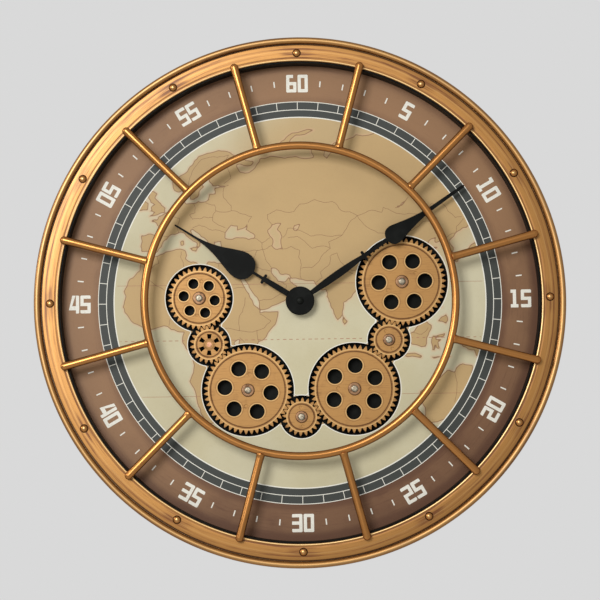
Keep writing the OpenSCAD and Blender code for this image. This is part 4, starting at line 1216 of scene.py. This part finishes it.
def build_chapter():
    """The numeral ring with its numerals, minute marks and the band's short lines."""
    face, inner = size("face"), size("map_r")
    outer = from_box("dial_print")[0]
    outline = [(inner, face - PAPER), (outer, face - PAPER), (outer, face), (inner, face)]
    ring = turned("chapter_print", outline, 384, 30)
    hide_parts("dial_print")
    fit(ring, chapter_finish(), "root", "dial_paper")

    low = face - INK_SINK
    cream = ink_finish("cream_ink", colour("cream"), paint(206, 196, 172))
    spacing = size("digit_w") + 1.4
    for i in range(12):
        number = str(60 if i == 0 else 5 * i)
        digits = [digit(c) for c in number]
        for j, made in enumerate(digits):
            moved(made, Matrix.Translation(((j - (len(digits) - 1) / 2) * spacing * MM, 0, 0)))
        numeral = joined(f"numeral_{number}", digits)
        clockwise = 30 * i
        if number in LEVEL:
            tilt = 0
        elif number in HEADS_OUT:
            tilt = clockwise
        else:
            tilt = clockwise + 180
        moved(numeral, Matrix.Rotation(math.radians(tilt), 4, "Y"))
        away, bearing = size("numeral_r"), math.radians(clockwise)
        east, north = away * math.sin(bearing), away * math.cos(bearing)
        moved(numeral, Matrix.Translation((east * MM, -low * MM, north * MM)))
        settle(numeral, f"numeral_{number}", 20)
        fit(numeral, cream, "root", "dial_paper")

    def bar(degrees, r0, r1, width):
        east, north = math.sin(math.radians(degrees)), math.cos(math.radians(degrees))
        return [(east * r + north * s * width / 2, north * r - east * s * width / 2)
                for r, s in ((r0, -1), (r0, 1), (r1, 1), (r1, -1))]

    marks = [bar(6 * i, *MINUTE_MARK) for i in range(60) if i % 5]
    fit(sheet_ink("minute_marks", marks, low, face + size("ink")), cream, "root", "dial_paper")
    lines = [bar(6 * i, *BAND_LINE) for i in range(60)]
    fit(sheet_ink("band_lines", lines, low, face + size("ink")), cream, "root", "dial_paper")


def build_gears():
    """The seven gears, their posts, cap washers and screws."""
    for node, (tilt, holes) in GEARS.items():
        low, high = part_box(node)
        x, z = (low.x + high.x) / 2 / MM, (low.z + high.z) / 2 / MM
        tip = max(high.x - low.x, high.z - low.z) / 2 / MM
        finish_node(node, 0.3, gear_finish(node + "_lacquer", x, z, tip - 7.6, tilt, holes))
    finish_node("cap_washers", 0.25, metal("cap_bronze"))
    finish_node("gear_screws", 0.15, metal("bright_steel"))
    repaint("gear_posts", metal("post_steel"))


def build_hands():
    """The two spade hands and the turned nut that holds them."""
    black = satin_black("hand_black")
    finish_node("minute_hand", 0.28, black)
    finish_node("hour_hand", 0.28, black)
    finish_node("hand_nut", 0.3, satin_black("nut_black", 1.6))


def build_back():
    """The board, the gear plate behind it, the rear cover and all that stands in its openings."""
    board = board_finish("dial_fibreboard", paint(196, 170, 130), paint(150, 118, 80), 1.6)
    hardboard = board_finish("brown_hardboard", paint(126, 88, 56), paint(84, 56, 34), 1.1)
    black = plastic_finish("black_plastic", paint(34, 34, 35), paint(46, 46, 47))
    white = plastic_finish("white_acetal", paint(226, 224, 212), paint(206, 202, 186), 0.38)
    rubber = plastic_finish("washer_rubber", paint(28, 28, 28), paint(44, 43, 42), 0.7, 2.4)
    red = plastic_finish("red_switch", paint(170, 36, 30), paint(128, 24, 22), 0.32)
    steel, brass = metal("zinc_plate"), metal("turned_brass")
    for node, edge, material in (
            ("dial_board", 0.25, board), ("gear_plate", 0.3, satin_black("plate_black", 2.6)),
            ("plate_spacers", 0.2, satin_black("spacer_black", 1.8)), ("rear_cover", 0.4, hardboard),
            ("hanger_plate", 0.2, steel), ("cover_screws", 0.15, steel), ("plate_screws", 0.15, steel),
            ("frame_posts", 0.3, metal("post_grey")), ("movement_case", 0.3, black),
            ("movement_cover", 0.3, black), ("drive_housing", 0.3, black), ("drive_cover", 0.3, black),
            ("setting_knob", 0.12, white), ("center_bushing", 0.2, brass), ("bushing_nut", 0.2, brass),
            ("rubber_washer", 0.2, rubber), ("drive_shaft", 0.12, metal("pin_bronze")),
            ("drive_motor", 0.3, metal("motor_can")), ("movement_battery", 0.4, cell_finish("cell_wrap")),
            ("drive_batteries", 0.4, cell_finish("drive_cell_wrap")), ("power_switch", 0.25, red)):
        finish_node(node, edge, material)
    for node, material in (
            ("hour_wheel", white), ("minute_wheel", white), ("reduction_wheel", white),
            ("motor_pinion", white), ("center_wheel", brass), ("step_motor", metal("coil_copper")),
            ("battery_contacts", metal("contact_spring"))):
        repaint(node, material)


def build_stage():
    """Pale floor, soft studio light and the camera."""
    deselect()
    bpy.ops.mesh.primitive_plane_add(size=3.0, location=(0, 0, -1.2))
    floor = bpy.context.object
    floor.name = "floor"
    made = Finish("pale_floor", roughness=0.75)
    grain = made.noise(made.place(), 0.01, 3.0, 0.5)
    made.base(made.mix(grain, (0.70, 0.70, 0.70, 1.0), (0.74, 0.74, 0.74, 1.0)))
    floor.data.materials.append(made.material)

    scene = bpy.context.scene
    scene.view_settings.view_transform = "Standard"
    world = bpy.data.worlds.new("studio")
    scene.world = world
    world.use_nodes = True
    backdrop = world.node_tree.nodes["Background"]
    backdrop.inputs["Color"].default_value = (0.694, 0.694, 0.694, 1.0)
    ray = world.node_tree.nodes.new("ShaderNodeLightPath")
    dim = world.node_tree.nodes.new("ShaderNodeMapRange")
    dim.inputs["To Min"].default_value = 0.7
    world.node_tree.links.new(ray.outputs["Is Camera Ray"], dim.inputs["Value"])
    world.node_tree.links.new(dim.outputs["Result"], backdrop.inputs["Strength"])

    for name, place, wide, energy in (
            ("key_light", (-0.95, -2.6, 0.75), 1.0, 48.0),
            ("side_light", (-2.8, -0.9, 0.9), 0.9, 18.0)):
        deselect()
        bpy.ops.object.light_add(type="AREA", location=place)
        lamp = bpy.context.object
        lamp.name = name
        lamp.data.size = wide
        lamp.data.energy = energy
        lamp.rotation_euler = (-Vector(place)).to_track_quat("-Z", "Y").to_euler()

    away, below, roll = 2.04, math.radians(4.0), math.radians(0.8)
    front = Vector((0, -size("case_depth") * MM, 0))
    camera_data = bpy.data.cameras.new("camera")
    camera = bpy.data.objects.new("camera", camera_data)
    scene.collection.objects.link(camera)
    camera.location = front + away * Vector((0, -math.cos(below), -math.sin(below)))
    aim = (front - camera.location).to_track_quat("-Z", "Y").to_matrix().to_4x4()
    camera.rotation_euler = (aim @ Matrix.Rotation(-roll, 4, "Z")).to_euler()
    camera_data.sensor_width = 36.0
    seen_radius, frame_width = 266.7, 600
    camera_data.lens = 36.0 * seen_radius * away / (size("case_r") * MM) / frame_width
    scene.camera = camera


# ---- The add-on ----


class ClockStep:
    """What the clock's operators share: each runs one maker."""
    bl_options = {"REGISTER", "UNDO"}
    maker = None

    def execute(self, context):
        type(self).maker()
        return {"FINISHED"}


class CLOCK_OT_case(ClockStep, bpy.types.Operator):
    """Turn the case and the bezel"""
    bl_idname = "clock.case"
    bl_label = "Case and Bezel"
    maker = staticmethod(build_case)


class CLOCK_OT_rivets(ClockStep, bpy.types.Operator):
    """Set the rivets in the bezel"""
    bl_idname = "clock.rivets"
    bl_label = "Rivets"
    maker = staticmethod(build_rivets)


class CLOCK_OT_cage(ClockStep, bpy.types.Operator):
    """Make the cage ring and its rods"""
    bl_idname = "clock.cage"
    bl_label = "Cage"
    maker = staticmethod(build_cage)


class CLOCK_OT_reveal(ClockStep, bpy.types.Operator):
    """Line the recess"""
    bl_idname = "clock.reveal"
    bl_label = "Recess Lining"
    maker = staticmethod(build_reveal)


class CLOCK_OT_map(ClockStep, bpy.types.Operator):
    """Print the map"""
    bl_idname = "clock.map"
    bl_label = "Map"
    maker = staticmethod(build_map)


class CLOCK_OT_chapter(ClockStep, bpy.types.Operator):
    """Print the numeral ring"""
    bl_idname = "clock.chapter"
    bl_label = "Numeral Ring"
    maker = staticmethod(build_chapter)


class CLOCK_OT_gears(ClockStep, bpy.types.Operator):
    """Finish the gears"""
    bl_idname = "clock.gears"
    bl_label = "Gears"
    maker = staticmethod(build_gears)


class CLOCK_OT_hands(ClockStep, bpy.types.Operator):
    """Finish the hands"""
    bl_idname = "clock.hands"
    bl_label = "Hands"
    maker = staticmethod(build_hands)


class CLOCK_OT_back(ClockStep, bpy.types.Operator):
    """Finish the board, the plates and the works"""
    bl_idname = "clock.back"
    bl_label = "Board and Works"
    maker = staticmethod(build_back)


class CLOCK_OT_stage(ClockStep, bpy.types.Operator):
    """Set the floor, the light and the camera"""
    bl_idname = "clock.stage"
    bl_label = "Stage"
    maker = staticmethod(build_stage)


STEPS = (CLOCK_OT_stage, CLOCK_OT_case, CLOCK_OT_rivets, CLOCK_OT_cage, CLOCK_OT_reveal, CLOCK_OT_map,
         CLOCK_OT_chapter, CLOCK_OT_gears, CLOCK_OT_hands, CLOCK_OT_back)


class CLOCK_PT_panel(bpy.types.Panel):
    """Lists the clock's steps, sizes and colours"""
    bl_label = "Skeleton Clock"
    bl_idname = "CLOCK_PT_panel"
    bl_space_type = "VIEW_3D"
    bl_region_type = "UI"
    bl_category = "Clock"

    def draw(self, context):
        for step in STEPS:
            self.layout.operator(step.bl_idname)
        for group in (context.scene.clock_sizes, context.scene.clock_colours):
            column = self.layout.column()
            for name in group.bl_rna.properties.keys():
                if name not in ("rna_type", "name"):
                    column.prop(group, name)


CLASSES = (ClockSizes, ClockColours) + STEPS + (CLOCK_PT_panel,)


def register():
    for made in CLASSES:
        bpy.utils.register_class(made)
    bpy.types.Scene.clock_sizes = bpy.props.PointerProperty(type=ClockSizes)
    bpy.types.Scene.clock_colours = bpy.props.PointerProperty(type=ClockColours)


def unregister():
    del bpy.types.Scene.clock_colours
    del bpy.types.Scene.clock_sizes
    for made in reversed(CLASSES):
        bpy.utils.unregister_class(made)


def main():
    """Registers the add-on and runs its steps in order."""
    register()
    for step in STEPS:
        getattr(bpy.ops.clock, step.bl_idname.split(".")[1])()


if __name__ == "__main__":
    main()
